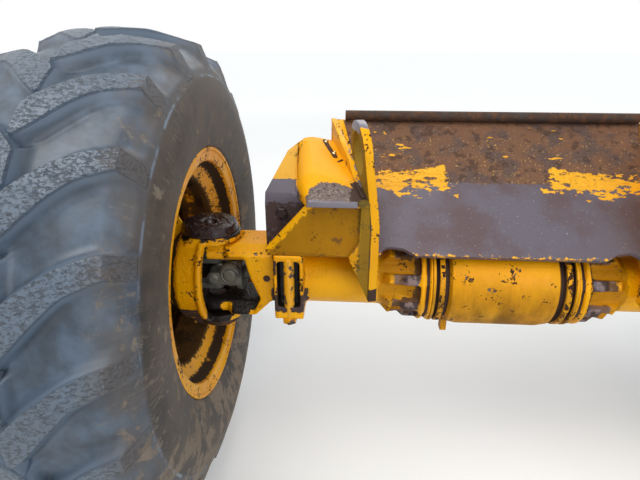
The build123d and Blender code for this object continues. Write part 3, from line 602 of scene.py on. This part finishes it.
def finishTree(tree, shape, finish):
    done = addNode(tree, "GeometryNodeSetMaterial", {"Geometry": shape, "Material": finish})
    addNode(tree, "NodeGroupOutput", (done,))
    return tree


# plain mesh made by a Geometry Nodes tree, its inputs given by name and set by identifier
def nodesMesh(mesh, tree, values, name):
    piece = bpy.data.objects.new(name, mesh)
    bpy.context.scene.collection.objects.link(piece)
    modifier = piece.modifiers.new("nodes", "NODES")
    modifier.node_group = tree
    for item in tree.interface.items_tree:
        if item.in_out == "INPUT" and item.name in values:
            modifier[item.identifier] = values[item.name]
    return evaluatedMesh(piece, name)


# Tyres

tyre = {
    "pitches": 20, "phase": 2.4, "tip": 610.0, "nose": 9.0,
    # across from the middle, behind the tip, half width of the crown
    "lugLine": [(-9, -8, 32), (-4, -4, 39), (9, 7, 42), (30, 27, 42), (69, 64, 35), (110, 101, 27),
                (168, 127, 23), (200, 126, 22)],
    # millimetres beyond the crown's edge, share of the lug's height
    "flank": [(0, 0.95), (3, 0.82), (9, 0.34), (17, 0.09), (27, 0.0), (60, 0.0)],
    # rows beside a crown, from its edge out to the flank's foot
    "foot": (9, 17, 26),
    # how far past the nose the other row's lugs start to fade into the void, and over what width
    "fade": (3, 36),
    "crownSteps": (-1, -0.93, -0.75, -0.5, -0.25, 0, 0.25, 0.5, 0.75, 0.93, 1), "edgeHeight": 0.95,
    "crown": [(0, 610), (72, 606), (168, 579)],
    "floor": [(0, 579), (100, 571), (150, 558), (168, 541)],
    # void edge, then lug end, each across and radius
    "shoulder": [((176, 533), (172, 569)), ((183, 526), (178, 556)), ((187.5, 522), (184, 540)),
                 ((189.5, 516), (188, 526)), ((193, 508), (193, 509))],
    "wall": [(197, 497), (201, 482), (204, 468), (206, 455), (205.5, 440), (203.5, 420), (200, 400),
             (195, 378), (189, 358), (184.5, 343), (181, 334.5)],
    "inside": [(168, 330), (164.5, 306), (140, 303.5), (138, 330), (171, 400), (178, 455), (166, 505),
               (128, 535)],
    "across": [0, 4.5, 9, 12, 16, 21, 27, 34, 42, 50, 58, 66, 74, 82, 90, 98, 106, 114, 122, 130, 138, 146,
               153, 159, 164, 168],
    "wear": 0.0022, "wearSize": 34.0,
}
rowCount = 32  # rows of faces across one pitch


def crownRows(out):  # places across one crown, millimetres behind the tip
    centre = sum(tableAt(tyre["lugLine"], out + d, 1) for d in (-8, 0, 8)) / 3
    half = tableAt(tyre["lugLine"], out, 2)
    return [centre + step * half for step in tyre["crownSteps"]]


# row places (millimetres behind) across one pitch, and each row's share of the lug's height
def lugRows(u, inner):
    pitch = 2 * math.pi * tyre["tip"] / tyre["pitches"]
    out = abs(u)
    own = crownRows(out)
    after = own[0] + pitch
    nose = [p + pitch / 2 for p in crownRows(-min(out, tyre["nose"]))]
    foot = tyre["foot"][-1]
    spread = own[-1] + foot
    span = (after - foot) - spread
    fadeStart, fadeWidth = tyre["fade"]
    slide = max(0.0, min(1.0, (out - tyre["nose"] - fadeStart) / fadeWidth))
    slide = slide * slide * (3 - 2 * slide)
    drift = tableAt(tyre["lugLine"], out, 1) - tableAt(tyre["lugLine"], min(out, tyre["nose"]), 1)
    middle = [(1 - slide) * (p + drift) + slide * (spread + span * (3 + k) / 16) for k, p in enumerate(nose)]
    beside = (*tyre["foot"], foot + span / 16, foot + span / 8)
    rows = list(own)
    for k, way in enumerate(beside):
        even = own[-1] + (middle[0] - own[-1]) * (k + 1) / 6
        rows.append((1 - slide) * even + slide * (own[-1] + way))
    rows += middle
    for k, way in enumerate(reversed(beside)):
        even = middle[-1] + (after - middle[-1]) * (k + 1) / 6
        rows.append((1 - slide) * even + slide * (after - way))
    rows.append(after)
    for k in range(1, rowCount + 1):
        rows[k] = max(rows[k], rows[k - 1] + 0.5)
    crownEdges = (0, 10, rowCount) + ((16, 26) if out <= tyre["nose"] else ())
    heights = []
    for k, p in enumerate(rows):
        gap = max(0.0, min(max(own[0] + n * pitch - p, p - own[-1] - n * pitch) for n in (0, 1)))
        beyond = [max(nose[0] + n * pitch - p + drift, p - nose[-1] - n * pitch - drift, 0.0)
                  for n in (-1, 0)]
        near = min(gap, math.hypot(min(beyond), max(0.0, out - tyre["nose"])))
        onEdge = gap == 0 and min(abs(own[0] - p), abs(p - own[-1]), abs(after - p)) < 0.1
        if near > 0:
            heights.append(tableAt(tyre["flank"], near, 1))
        else:
            heights.append(tyre["edgeHeight"] if onEdge or k in crownEdges else 1.0)
    if inner:
        return rows, heights
    # the outboard row of lugs is half a pitch behind
    turned = []
    for k in range(rowCount):
        n = k + rowCount // 2
        turned.append((rows[n % rowCount] + (pitch if n >= rowCount else 0) - pitch / 2,
                       heights[n % rowCount]))
    turned.append((turned[0][0] + pitch, turned[0][1]))
    return [t[0] for t in turned], [t[1] for t in turned]


# one pitch of the tyre about the X axis, closed round its section: each place is low x, high x, low radius,
# high radius, millimetres behind, share of the lug's height, and share of the sidewall
def tyreSector():
    columns = []
    for u in [-a for a in reversed(tyre["across"][1:])] + tyre["across"]:
        low, high = tableAt(tyre["floor"], abs(u), 1), tableAt(tyre["crown"], abs(u), 1)
        columns.append([(u, u, low, high, p, h, 0.0) for p, h in zip(*lugRows(u, u >= 0))])
    for sign in (1, -1):
        rows, heights = lugRows(sign * tyre["across"][-1], sign > 0)
        side = []
        for (floorX, floorR), (endX, endR) in tyre["shoulder"]:
            ends, radii = (sign * floorX, sign * endX), (floorR, endR)
            side.append([(*ends, *radii, p, h, 0.3) for p, h in zip(rows, heights)])
        for x, r in tyre["wall"] + tyre["inside"]:
            side.append([(sign * x, sign * x, r, r, p, 0.0, 1.0) for p in rows])
        columns = columns + side if sign > 0 else side[::-1] + columns
    shell = bmesh.new()
    grid, marks = [], []
    for column in columns:
        line = []
        for lowX, highX, low, high, p, h, wall in column:
            x = lowX + (highX - lowX) * h
            r = low + (high - low) * h
            a = math.radians(tyre["phase"]) - p / tyre["tip"]
            line.append(shell.verts.new((-x / 1000, -r * math.sin(a) / 1000, r * math.cos(a) / 1000)))
            marks.append((h, wall))
        grid.append(line)
    for first, second in zip(grid, grid[1:] + grid[:1]):
        for k in range(rowCount):
            shell.faces.new((first[k], first[k + 1], second[k + 1], second[k]))
    mesh = closedMesh(shell, "tyreSector")
    for index, name in enumerate(("lug", "sidewall")):
        layer = mesh.attributes.new(name, "FLOAT", "POINT")
        layer.data.foreach_set("value", [mark[index] for mark in marks])
    return mesh


# repeats one pitch round the wheel, joins it and wears the crowns unevenly
def lugTree():
    tree, given = startTree("lugs round the wheel", {
        "Pitch": "Geometry", "Pitches": "Int", "Wear": "Float", "Wear size": "Float", "Rubber": "Material"})
    points = addNode(tree, "GeometryNodePoints", {"Count": given["Pitches"]})
    share = addNode(tree, mathNode, (addNode(tree, "GeometryNodeInputIndex"), given["Pitches"]), divide)
    angle = addNode(tree, mathNode, (share, 2 * math.pi), multiply)
    ring = addNode(tree, "GeometryNodeInstanceOnPoints", {
        "Points": points, "Instance": given["Pitch"], "Rotation": addNode(tree, joinNode, (angle,))})
    joined = addNode(tree, "GeometryNodeRealizeInstances", (ring,))
    joined = addNode(tree, "GeometryNodeMergeByDistance", {"Geometry": joined, "Distance": 0.0001})
    lug = addNode(tree, "GeometryNodeInputNamedAttribute", {"Name": "lug"}, numbers)
    size = addNode(tree, mathNode, (1000.0, given["Wear size"]), divide)
    field = addNode(tree, noiseNode, {"Scale": size, "Detail": 4.0, "Roughness": 0.65})
    share = addNode(tree, mathNode, (field, lug), multiply)
    depth = addNode(tree, mathNode, (share, given["Wear"]), multiply)
    inward = addNode(tree, vectorNode, {0: addNode(tree, "GeometryNodeInputNormal"), "Scale": -1.6}, scale)
    offset = addNode(tree, vectorNode, {0: inward, "Scale": depth}, scale)
    moved = addNode(tree, "GeometryNodeSetPosition", {"Geometry": joined, "Offset": offset})
    return finishTree(tree, moved, given["Rubber"])


leftTyre = nodesMesh(tyreSector(), lugTree(), {
    "Pitches": tyre["pitches"], "Wear": tyre["wear"], "Wear size": tyre["wearSize"], "Rubber": tyreRubber},
    "tyreSkin")
leftTyre.transform(Matrix.Translation(place(wheelMiddle, 0, 0)))
smoothShade(leftTyre, 50)
newPiece("tyreLeft", leftTyre, tyreRubber, "wheel_left", ["tyre_left"])
newPiece("tyreRight", forSide(leftTyre, -1), tyreRubber, "wheel_right", ["tyre_right"])
print("stage: tyres made", len(leftTyre.polygons))


# Rims

rim = {"flange": (180, 333), "seat": 304, "ledge": 300, "well": 256, "gauge": 9, "soft": 5,
       "disc": [(48, 120), (64, 120), (64, 225), (40, 293), (22, 293), (48, 222)]}


def rimOutline():
    edge, high = rim["flange"]
    seat, ledge, well, gauge = rim["seat"], rim["ledge"], rim["well"], rim["gauge"]
    under = high - gauge
    return [(-edge, high), (-edge + 12, high - 4), (-edge + 16, seat), (-128, ledge), (-108, well),
            (-28, well), (-6, ledge), (edge - 16, seat), (edge - 12, high - 4), (edge, high), (edge, under),
            (edge - 5, under - 2), (edge - 8, seat - gauge + 1), (2, ledge - gauge), (-22, well - gauge),
            (-114, well - gauge), (-136, ledge - gauge), (-edge + 8, seat - gauge + 1),
            (-edge + 5, under - 2), (-edge, under)]


barrel = turnedMesh("rimBarrel", rimOutline(), (wheelMiddle, 0, 0), soft=rim["soft"], steps=128)
disc = turnedMesh("rimDisc", rim["disc"], (wheelMiddle, 0, 0), soft=rim["soft"])
for side, sign in sides:
    for name, mesh in (("rimBarrel_", barrel), ("rimDisc_", disc)):
        newPiece(name + side, forSide(mesh, sign), enamelRim, "wheel_" + side, ["rim_" + side])


# Castings and plates that keep the solids' shape

finishes = {
    "hub": enamelCasting, "hub_cap": enamelCasting, "half_shaft": greyForging, "stub_shaft": greyForging,
    "king_pin_upper": wetMud, "king_pin_lower": rustyIron, "tie_rod_end": rustyIron, "pad_bolts": dullBolt,
    "centre_casing": enamelCasing, "drive_head": enamelCasing, "input_flange": greyForging,
    "tie_rod": rustyIron, "steer_cylinder": enamelPlate, "steer_rod": chromeBar, "deck_plate": deckSteel,
    "back_plate": enamelPlate, "cross_bar": rustyIron,
}
for node, piece in parts.items():
    base = node.removesuffix("_left").removesuffix("_right")
    if base in finishes:
        piece.data.materials.clear()
        piece.data.materials.append(finishes[base])


def mergedCopy(node, name):  # a CAD node's loose triangles joined into one skin
    mesh = parts[node].data.copy()
    mesh.name = name
    skin = bmesh.new()
    skin.from_mesh(mesh)
    bmesh.ops.remove_doubles(skin, verts=skin.verts, dist=0.00002)
    bmesh.ops.dissolve_limit(skin, angle_limit=math.radians(1.0), verts=skin.verts, edges=skin.edges)
    skin.to_mesh(mesh)
    skin.free()
    return mesh


# the saddle's shelf, the hood's rear corner and how they move, in axle millimetres
saddle = {
    "shelf": {"inner": 500, "outer": 570, "front": -45, "heights": (236, 242), "from": -40, "run": 290,
              "rise": 60, "narrowing": 27 / 0.81},
    "corner": {"inner": 488, "front": 195, "above": 283, "from": 284, "to": 308, "share": 9 / 32},
}


# the shelf narrows and rises to the rear until it meets the hood, whose rear corner is the squarer one
def shapeSaddle(mesh):
    shelf, corner = saddle["shelf"], saddle["corner"]
    for vertex in mesh.vertices:
        x, y, z = (c * 1000 - at * 1000 for c, at in zip(vertex.co, axleAt))
        x = abs(x)
        share = max(0.0, min(1.0, (y - shelf["from"]) / shelf["run"]))
        if x > shelf["inner"] and shelf["heights"][0] < z < shelf["heights"][1] and y > shelf["front"]:
            z += shelf["rise"] * share
            if x > shelf["outer"]:
                x -= shelf["narrowing"] * share
        elif x > corner["inner"] and z > corner["above"] and y > corner["front"]:
            z = corner["to"] + (z - corner["from"]) * corner["share"]
        else:
            continue
        vertex.co = place(math.copysign(x, vertex.co.x), y, z)


def easedPlate(node, width, shape):  # corners of welded plate, eased by width metres
    mesh = mergedCopy(node, node + "Eased")
    if shape:
        shape(mesh)
    mesh = modified(mesh, node + "Eased", ("BEVEL", {
        "width": width, "segments": 2, "limit_method": "ANGLE", "angle_limit": math.radians(35),
        "miter_outer": "MITER_ARC", "use_clamp_overlap": True}))
    smoothShade(mesh, 30)
    return mesh


def castSkin(node, voxel, passes):  # a casting's fillets, from a fine remesh that is then relaxed
    mesh = modified(mergedCopy(node, node + "Cast"), node + "Cast",
                    ("REMESH", {"mode": "VOXEL", "voxel_size": voxel}),
                    ("SMOOTH", {"factor": 0.5, "iterations": passes}))
    mesh.shade_smooth()
    return mesh


# node: voxel in metres, smoothing passes, body without its side, finish and slot
castings = {
    "beam_arm": (0.0035, 5, root, enamelCasting, "yellow_paint"),
    "swivel_housing": (0.0032, 4, "knuckle_", enamelCasting, "yellow_paint"),
    "half_shaft": (0.0018, 7, "shaft_", greyForging, "worn_steel"),
    "stub_shaft": (0.0018, 7, "wheel_", greyForging, "worn_steel"),
}
# node: easing in metres, finish and reshaping
plates = {"eye_plate": (0.0025, enamelEye, None), "saddle_bracket": (0.002, enamelSaddle, shapeSaddle)}
for side, sign in sides:
    for node, (voxel, passes, body, finish, slotName) in castings.items():
        mesh = castSkin(node + "_" + side, voxel, passes)
        rider = body if body == root else body + side
        newPiece(node + "Cast_" + side, mesh, finish, rider, [node + "_" + side])
        print("stage: cast", node, side, len(mesh.polygons))
    for node, (width, finish, shape) in plates.items():
        mesh = easedPlate(node + "_" + side, width, shape)
        newPiece(node + "Eased_" + side, mesh, finish, root, [node + "_" + side])
        print("stage: plate", node, side, len(mesh.polygons))


# Bearing caps of the joint

# the joint's inner cross: fork eye and bearing cap at each end of its pin, which leans by lean degrees
joint = {"x": 690, "lean": 14, "soft": 2.0, "steps": 40,
         "eye": [(12, 0), (12, 35), (34, 35), (43, 32), (50, 25), (52, 22), (50, 20), (50, 0)],
         "cap": [(46, 0), (46, 19), (53.5, 17), (55.5, 12), (55.5, 0)]}
lean = math.radians(joint["lean"])
for side, sign in sides:
    for end, endName in ((-1, "Front_"), (1, "Back_")):
        for part in ("eye", "cap"):
            mesh = turnedMesh("joint" + part, joint[part], (sign * joint["x"], 0, 0),
                              (0, end * math.cos(lean), -end * math.sin(lean)), joint["soft"], joint["steps"])
            newPiece("joint" + part.title() + endName + side, mesh, greyForging, "shaft_" + side, ())


# King pins, mud, hose tabs and oil plugs

mudLump = {"centre": (743, 2), "radius": 73, "low": 121, "top": 149, "rings": 40, "steps": 120, "rim": 0.9,
           "ridgeGap": 6.0, "ridge": 2.4, "seed": 3.7}


# wet mud over the king pin's cap and the bowl's lip: a flat lump, ridged round its middle, with a closed foot
def mudMesh():
    cx, cy = mudLump["centre"]
    low, top, seed = mudLump["low"], mudLump["top"], mudLump["seed"]
    rings = []
    for i in range(mudLump["rings"] + 1):
        share = i / mudLump["rings"]
        drop = max(0.0, (share - mudLump["rim"]) / (1 - mudLump["rim"]))
        ring = []
        for k in range(mudLump["steps"] if i else 1):
            a = 2 * math.pi * k / mudLump["steps"]
            broad = noise.noise(Vector((math.cos(a) * 1.6, math.sin(a) * 1.6, seed)))
            fine = noise.noise(Vector((math.cos(a) * 5, math.sin(a) * 5, seed + 4)))
            radius = mudLump["radius"] * share * (1 + 0.07 * broad + 0.03 * fine)
            x, y = cx + radius * math.cos(a), cy + radius * math.sin(a)
            spot = Vector((x / 30, y / 30, seed))
            bend = noise.noise(spot)
            ridge = math.sin(math.hypot(x - cx + 14, y - cy + 12) / mudLump["ridgeGap"] + 5 * bend)
            rise = mudLump["ridge"] * ridge * (1 - share) + 3 * bend + noise.noise(spot * 5) - 6 * share ** 4
            ring.append(place(x, y, top + rise * (1 - drop) - (top - low - 4) * drop ** 2))
        rings.append(ring)
    foot = [spot + Vector((0, 0, -0.003)) for spot in rings[-1]]
    mesh = ringSkin("mudLump", rings + [foot, [place(cx, cy, low)]])
    mesh.shade_smooth()
    return mesh


hoseTab = {"outline": [(834, 171), (818, 140), (820, 100), (845, 90), (850, 136)], "hole": (834, 140),
           "holeRadius": 7, "front": -3, "thick": 6, "edge": 0.0008}


# flat outline of (across, up) in axle millimetres, drawn back from front, with a round hole
def tabMesh():
    sketch = bpy.data.curves.new("hoseTab", "CURVE")
    sketch.dimensions = "2D"
    sketch.fill_mode = "BOTH"
    sketch.extrude = hoseTab["thick"] / 2000
    sketch.bevel_depth = hoseTab["edge"]
    (holeX, holeZ), radius = hoseTab["hole"], hoseTab["holeRadius"]
    turns = [k * math.pi / 8 for k in range(16)]
    hole = [(holeX + radius * math.cos(a), holeZ + radius * math.sin(a)) for a in turns]
    for loop in (hoseTab["outline"], hole):
        line = sketch.splines.new("POLY")
        line.points.add(len(loop) - 1)
        line.use_cyclic_u = True
        for point, (x, z) in zip(line.points, loop):
            point.co = (x / 1000, z / 1000, 0, 1)
    holder = bpy.data.objects.new("hoseTab", sketch)
    flat = bpy.data.meshes.new_from_object(holder)
    bpy.data.objects.remove(holder)
    shell = bmesh.new()
    shell.from_mesh(flat)
    bpy.data.meshes.remove(flat)
    bmesh.ops.remove_doubles(shell, verts=shell.verts, dist=0.00001)
    middle = place(0, hoseTab["front"] + hoseTab["thick"] / 2, 0)
    shell.transform(Matrix.Translation(middle) @ Matrix.Rotation(math.pi / 2, 4, "X"))
    return closedMesh(shell, "hoseTab")


oilPlug = {"outline": [(-2, 0), (-2, 9), (1.2, 9), (2.2, 8), (2.2, 6.5), (0.4, 5.5), (0.4, 0)],
           "spot": (585.7, -80, 24.4), "soft": 0.6}
kingPin = {"outline": [(64, 0), (64, 24), (100, 24), (100, 60), (124, 60), (124, 0)],
           "spot": (735, 0, 0), "soft": 1.5}
mud, tab = mudMesh(), tabMesh()
plug = turnedMesh("plug", oilPlug["outline"], oilPlug["spot"], (0, -1, 0), oilPlug["soft"], 40)
pin = turnedMesh("kingPin", kingPin["outline"], kingPin["spot"], (0, 0, 1), kingPin["soft"], 48)
for side, sign in sides:
    knuckle, replaced = "knuckle_" + side, ["king_pin_upper_" + side]
    newPiece("mudOnCap_" + side, forSide(mud, sign), wetMud, knuckle, replaced)
    newPiece("kingPin_" + side, forSide(pin, sign), rustyIron, knuckle, replaced)
    newPiece("hoseTab_" + side, forSide(tab, sign), enamelPlate, knuckle, ())
    newPiece("oilPlug_" + side, forSide(plug, sign), rustyIron, root, ())


# Wheel nuts and hub screws

# hexagon nut, with a stud if that has a radius, pointing along X from zero, its sizes in millimetres
def nutMesh(name, across, high, studRadius, studHigh):
    chamfer = 1.5
    profile = [(0, across / 1.732), (high - 2, across / 1.732), (high, across / 2.05)]
    if studRadius:
        profile += [(high, studRadius), (studHigh - chamfer, studRadius), (studHigh, studRadius - chamfer)]
    turns = [k * math.pi / 3 for k in range(6)]
    rings = [[(x / 1000, r / 1000 * math.cos(a), r / 1000 * math.sin(a)) for a in turns] for x, r in profile]
    return ringSkin(name, rings, capped=True)


# repeats a small shape round a ring about the X axis, each turned by chance
def ringTree():
    tree, given = startTree("nuts round a ring", {
        "Nut": "Geometry", "Count": "Int", "Ring radius": "Float", "Along": "Float", "Seed": "Int",
        "Finish": "Material"})
    points = addNode(tree, "GeometryNodePoints", {"Count": given["Count"]})
    share = addNode(tree, mathNode, (addNode(tree, "GeometryNodeInputIndex"), given["Count"]), divide)
    angle = addNode(tree, mathNode, (share, 2 * math.pi), multiply)
    back = addNode(tree, mathNode, (angle,), {"operation": "COSINE"})
    up = addNode(tree, mathNode, (angle,), {"operation": "SINE"})
    spoke = addNode(tree, joinNode, {1: back, 2: up})
    spoke = addNode(tree, vectorNode, {0: spoke, "Scale": given["Ring radius"]}, scale)
    spot = addNode(tree, vectorNode, (spoke, addNode(tree, joinNode, (given["Along"],))), add)
    placed = addNode(tree, "GeometryNodeSetPosition", {"Geometry": points, "Position": spot})
    twist = addNode(tree, "FunctionNodeRandomValue", {"Max": 1.05, "Seed": given["Seed"]}, numbers)
    ring = addNode(tree, "GeometryNodeInstanceOnPoints", {
        "Points": placed, "Instance": given["Nut"], "Rotation": addNode(tree, joinNode, (twist,))})
    return finishTree(tree, addNode(tree, "GeometryNodeRealizeInstances", (ring,)), given["Finish"])


nutRings = {
    "wheelNuts": {"nut": (30, 18, 10, 27), "count": 12, "radius": 160, "along": 988.5, "seed": 5},
    "hubScrews": {"nut": (13, 6, 0, 0), "count": 6, "radius": 84, "along": 1048.5, "seed": 8},
}
nuts = ringTree()
for name, sizes in nutRings.items():
    ring = nodesMesh(nutMesh(name, *sizes["nut"]), nuts, {
        "Count": sizes["count"], "Ring radius": sizes["radius"] / 1000, "Along": sizes["along"] / 1000,
        "Seed": sizes["seed"], "Finish": dullBolt}, name)
    ring.transform(Matrix.Translation(place(0, 0, 0)))
    for side, sign in sides:
        newPiece(name + "_" + side, forSide(ring, sign), dullBolt, "wheel_" + side, ())


# Studs through the pad, bolt in the shelf's front, bracket studs on the hood

def boltMesh(name, nut, origin, way):  # nut is across, high, stud radius and stud height
    mesh = nutMesh(name, *nut)
    turn = Vector(way).to_track_quat("X", "Z").to_matrix().to_4x4()
    mesh.transform(Matrix.Translation(place(*origin)) @ turn)
    return mesh


padStud = {"outline": [(-88, 0), (-88, 13), (-72, 13), (94, 13), (94, 0)], "x": 526, "nut": (32, 15, 14, 16),
           "nutTop": -72, "rows": (("Front", -103), ("Back", 78))}
shelfBolt = {"nut": (26, 12, 0, 0), "spot": (546, -48, 192)}
# the bracket's line over the hood, the way across it, and where along it the studs stand
hoodStuds = {"nut": (13, 6, 4.5, 10), "ends": ((423, 104, 296), (457, 220, 312)), "across": (-80, 0, -31),
             "shares": (0.1, 0.85)}
hoodStart, hoodEnd = (Vector(end) for end in hoodStuds["ends"])
hoodUp = (hoodEnd - hoodStart).normalized().cross(Vector(hoodStuds["across"])).normalized()
hoodUp = -hoodUp if hoodUp.z < 0 else hoodUp
bolt = boltMesh("shelfBolt", shelfBolt["nut"], shelfBolt["spot"], (0, -1, 0))
for side, sign in sides:
    for name, y in padStud["rows"]:
        stud = turnedMesh("padStud", padStud["outline"], (padStud["x"], y, 0), (0, 0, 1), 1.0, 40)
        nut = boltMesh("padNut", padStud["nut"], (padStud["x"], y, padStud["nutTop"]), (0, 0, -1))
        for label, mesh in (("padStud", stud), ("padNut", nut)):
            newPiece(label + name + "_" + side, forSide(mesh, sign), studPaint, root, ["pad_bolts_" + side])
    # the shelf's bolt is near black, painted as the shade of the hole it sits in
    newPiece("shelfBolt_" + side, forSide(bolt, sign), wetMud, root, ())
    for number, share in enumerate(hoodStuds["shares"]):
        nut = boltMesh("hoodNut", hoodStuds["nut"], hoodStart.lerp(hoodEnd, share), hoodUp)
        newPiece("hoodNut" + str(number) + "_" + side, forSide(nut, sign), brightStud, root, ())
print("stage: studs and bolts made")


# Weld beads

# lays overlapping drops of weld metal along a line
def beadTree():
    tree, given = startTree("weld bead", {
        "Line": "Geometry", "Spacing": "Float", "Width": "Float", "Seed": "Int", "Finish": "Material"})
    line = addNode(tree, "GeometryNodeMeshToCurve", {"Mesh": given["Line"]})
    even = addNode(tree, "GeometryNodeResampleCurve", {"Curve": line, "Length": given["Spacing"]},
                   {"mode": "LENGTH"})
    points = addNode(tree, "GeometryNodeCurveToPoints", {"Curve": even}, {"mode": "EVALUATED"})
    drop = addNode(tree, "GeometryNodeMeshIcoSphere", {"Radius": 0.5, "Subdivisions": 2})
    size = addNode(tree, "FunctionNodeRandomValue", {"Min": 0.85, "Max": 1.15, "Seed": given["Seed"]},
                   numbers)
    size = addNode(tree, mathNode, (size, given["Width"]), multiply)
    drops = addNode(tree, "GeometryNodeInstanceOnPoints", {"Points": points, "Instance": drop, "Scale": size})
    joined = addNode(tree, "GeometryNodeRealizeInstances", (drops,))
    return finishTree(tree, addNode(tree, "GeometryNodeSetShadeSmooth", (joined,)), given["Finish"])


def lineMesh(points, closed):
    mesh = bpy.data.meshes.new("line")
    edges = [(k, k + 1) for k in range(len(points) - 1)] + ([(len(points) - 1, 0)] if closed else [])
    mesh.from_pydata([place(*p) for p in points], edges, [])
    return mesh


# points of the line, width and spacing of the drops in millimetres, body without its side, finish and slot
discEdge = [(967, 292 * math.cos(k * math.pi / 36), 292 * math.sin(k * math.pi / 36)) for k in range(72)]
welds = {
    "hoodWeld": ([(352, -108, 255), (369, -45, 269), (424, 200, 303), (433, 244, 306)],
                 8, 3.0, root, enamelSaddle, "yellow_paint"),
    "shelfWeld": ([(510, -36, 241), (533, 195, 288), (527, 246, 299)],
                  7, 3.0, root, enamelSaddle, "yellow_paint"),
    # a dark rusty bar along the hood's bracket: rust, and the painted shade of its slot
    "hoodSlotRustAndShade": ([(457, 220, 311), (449, 190, 307), (433, 135, 299), (423, 102, 294)],
                 12, 3.6, root, rustyIron, "rusty_iron"),
    "hoodNotch": ([(414, 72, 288), (405, 88, 289)], 7, 3.4, root, rustyIron, "rusty_iron"),
    "discWeld": (discEdge, 8, 5.0, "wheel_", enamelRim, "yellow_paint"),
}
bead = beadTree()
for name, (points, width, spacing, body, finish, slotName) in welds.items():
    mesh = nodesMesh(lineMesh(points, points is discEdge), bead, {
        "Spacing": spacing / 1000, "Width": width / 1000, "Seed": 11, "Finish": finish}, name)
    for side, sign in sides:
        rider = body if body == root else body + side
        newPiece(name + "_" + side, forSide(mesh, sign), finish, rider, ())
print("stage: mud, tabs, nuts and welds made")


# Floor, light and camera

# smooth pale paint that takes a soft shadow near the axle and brightens far off
studio = {"reach": 30, "height": -0.912, "tones": ("e2e3e1", "e6e7e5"), "glowFrom": (1.5, 7.0),
          "glow": (0.22, 0.62)}
# place, what it points at, size in metres, watts and tint
lights = {
    "keyAbove": ((-1.6, -1.6, 3.6), (0, -0.2, -0.2), (3.2, 2.6), 130, "fffaf2"),
    "fillFront": ((1.8, -3.4, 1.4), (0, -0.2, -0.3), (2.4, 2.4), 58, "fbfbff"),
    "rimBehind": ((0.5, 3.2, 2.6), (0, 0, 0), (3.0, 1.5), 50, "ffffff"),
}

reach = studio["reach"]
spots = ((-reach, -reach), (reach, -reach), (reach, reach), (-reach, reach))
corners = [(x, y, studio["height"]) for x, y in spots]
floorMesh = bpy.data.meshes.new("studioFloor")
floorMesh.from_pydata(corners, [], [(0, 1, 2, 3)])
floor = bpy.data.objects.new("studioFloor", floorMesh)
bpy.context.scene.collection.objects.link(floor)
floorPaint, tree, coords = startMaterial("pale studio floor")
light, dark = (hexColour(tone) for tone in studio["tones"])
tone = addNode(tree, mixNode, {0: patches(tree, coords, 900, 0.3, 0.7), 6: light, 7: dark}, colours)
rays = addNode(tree, "ShaderNodeLightPath").outputs
seen = addNode(tree, mathNode, (rays["Is Camera Ray"], rays["Is Glossy Ray"]), maximum)
far = addNode(tree, vectorNode, (coords,), length)
glow = addNode(tree, rangeNode, (far, *studio["glowFrom"], *studio["glow"]))
glow = addNode(tree, mathNode, (glow, seen), multiply)
floorShader = addNode(tree, "ShaderNodeBsdfPrincipled", {
    "Base Color": tone, "Roughness": 0.85, "Emission Color": hexColour("ffffff"), "Emission Strength": glow})
addNode(tree, "ShaderNodeOutputMaterial", {"Surface": floorShader})
floorMesh.materials.append(floorPaint)

world = bpy.data.worlds.new("studio")
bpy.context.scene.world = world
world.use_nodes = True
tree = world.node_tree
tree.nodes.clear()
rays = addNode(tree, "ShaderNodeLightPath").outputs
seen = addNode(tree, mathNode, (rays["Is Glossy Ray"], rays["Is Transmission Ray"]), maximum)
seen = addNode(tree, mathNode, (rays["Is Camera Ray"], seen), maximum)
tone = addNode(tree, mixNode, {0: seen, 6: hexColour("dfe6ee"), 7: hexColour("ffffff")}, colours)
level = addNode(tree, rangeNode, {0: seen, 3: 0.5})
addNode(tree, "ShaderNodeOutputWorld", {"Surface": addNode(tree, "ShaderNodeBackground", (tone, level))})

for name, (spot, aim, size, power, tint) in lights.items():
    lamp = bpy.data.lights.new(name, "AREA")
    lamp.shape = "RECTANGLE"
    lamp.size, lamp.size_y = size
    lamp.energy = power
    lamp.color = hexColour(tint)[:3]
    holder = bpy.data.objects.new(name, lamp)
    holder.location = spot
    holder.rotation_euler = (Vector(aim) - Vector(spot)).to_track_quat("-Z", "Y").to_euler()
    bpy.context.scene.collection.objects.link(holder)

camera = bpy.data.cameras.new("photoView")
camera.sensor_width = 36.0
camera.lens = 27.18
camera.clip_end = 100
cameraHolder = bpy.data.objects.new("photoView", camera)
cameraHolder.location = (-0.38094, -1.41383, 0.30053)
cameraHolder.rotation_euler = (math.radians(66.546), math.radians(-0.06), math.radians(3.751))
bpy.context.scene.collection.objects.link(cameraHolder)
bpy.context.scene.camera = cameraHolder
bpy.context.scene.view_settings.view_transform = "Standard"
print("stage: floor, light and camera set")
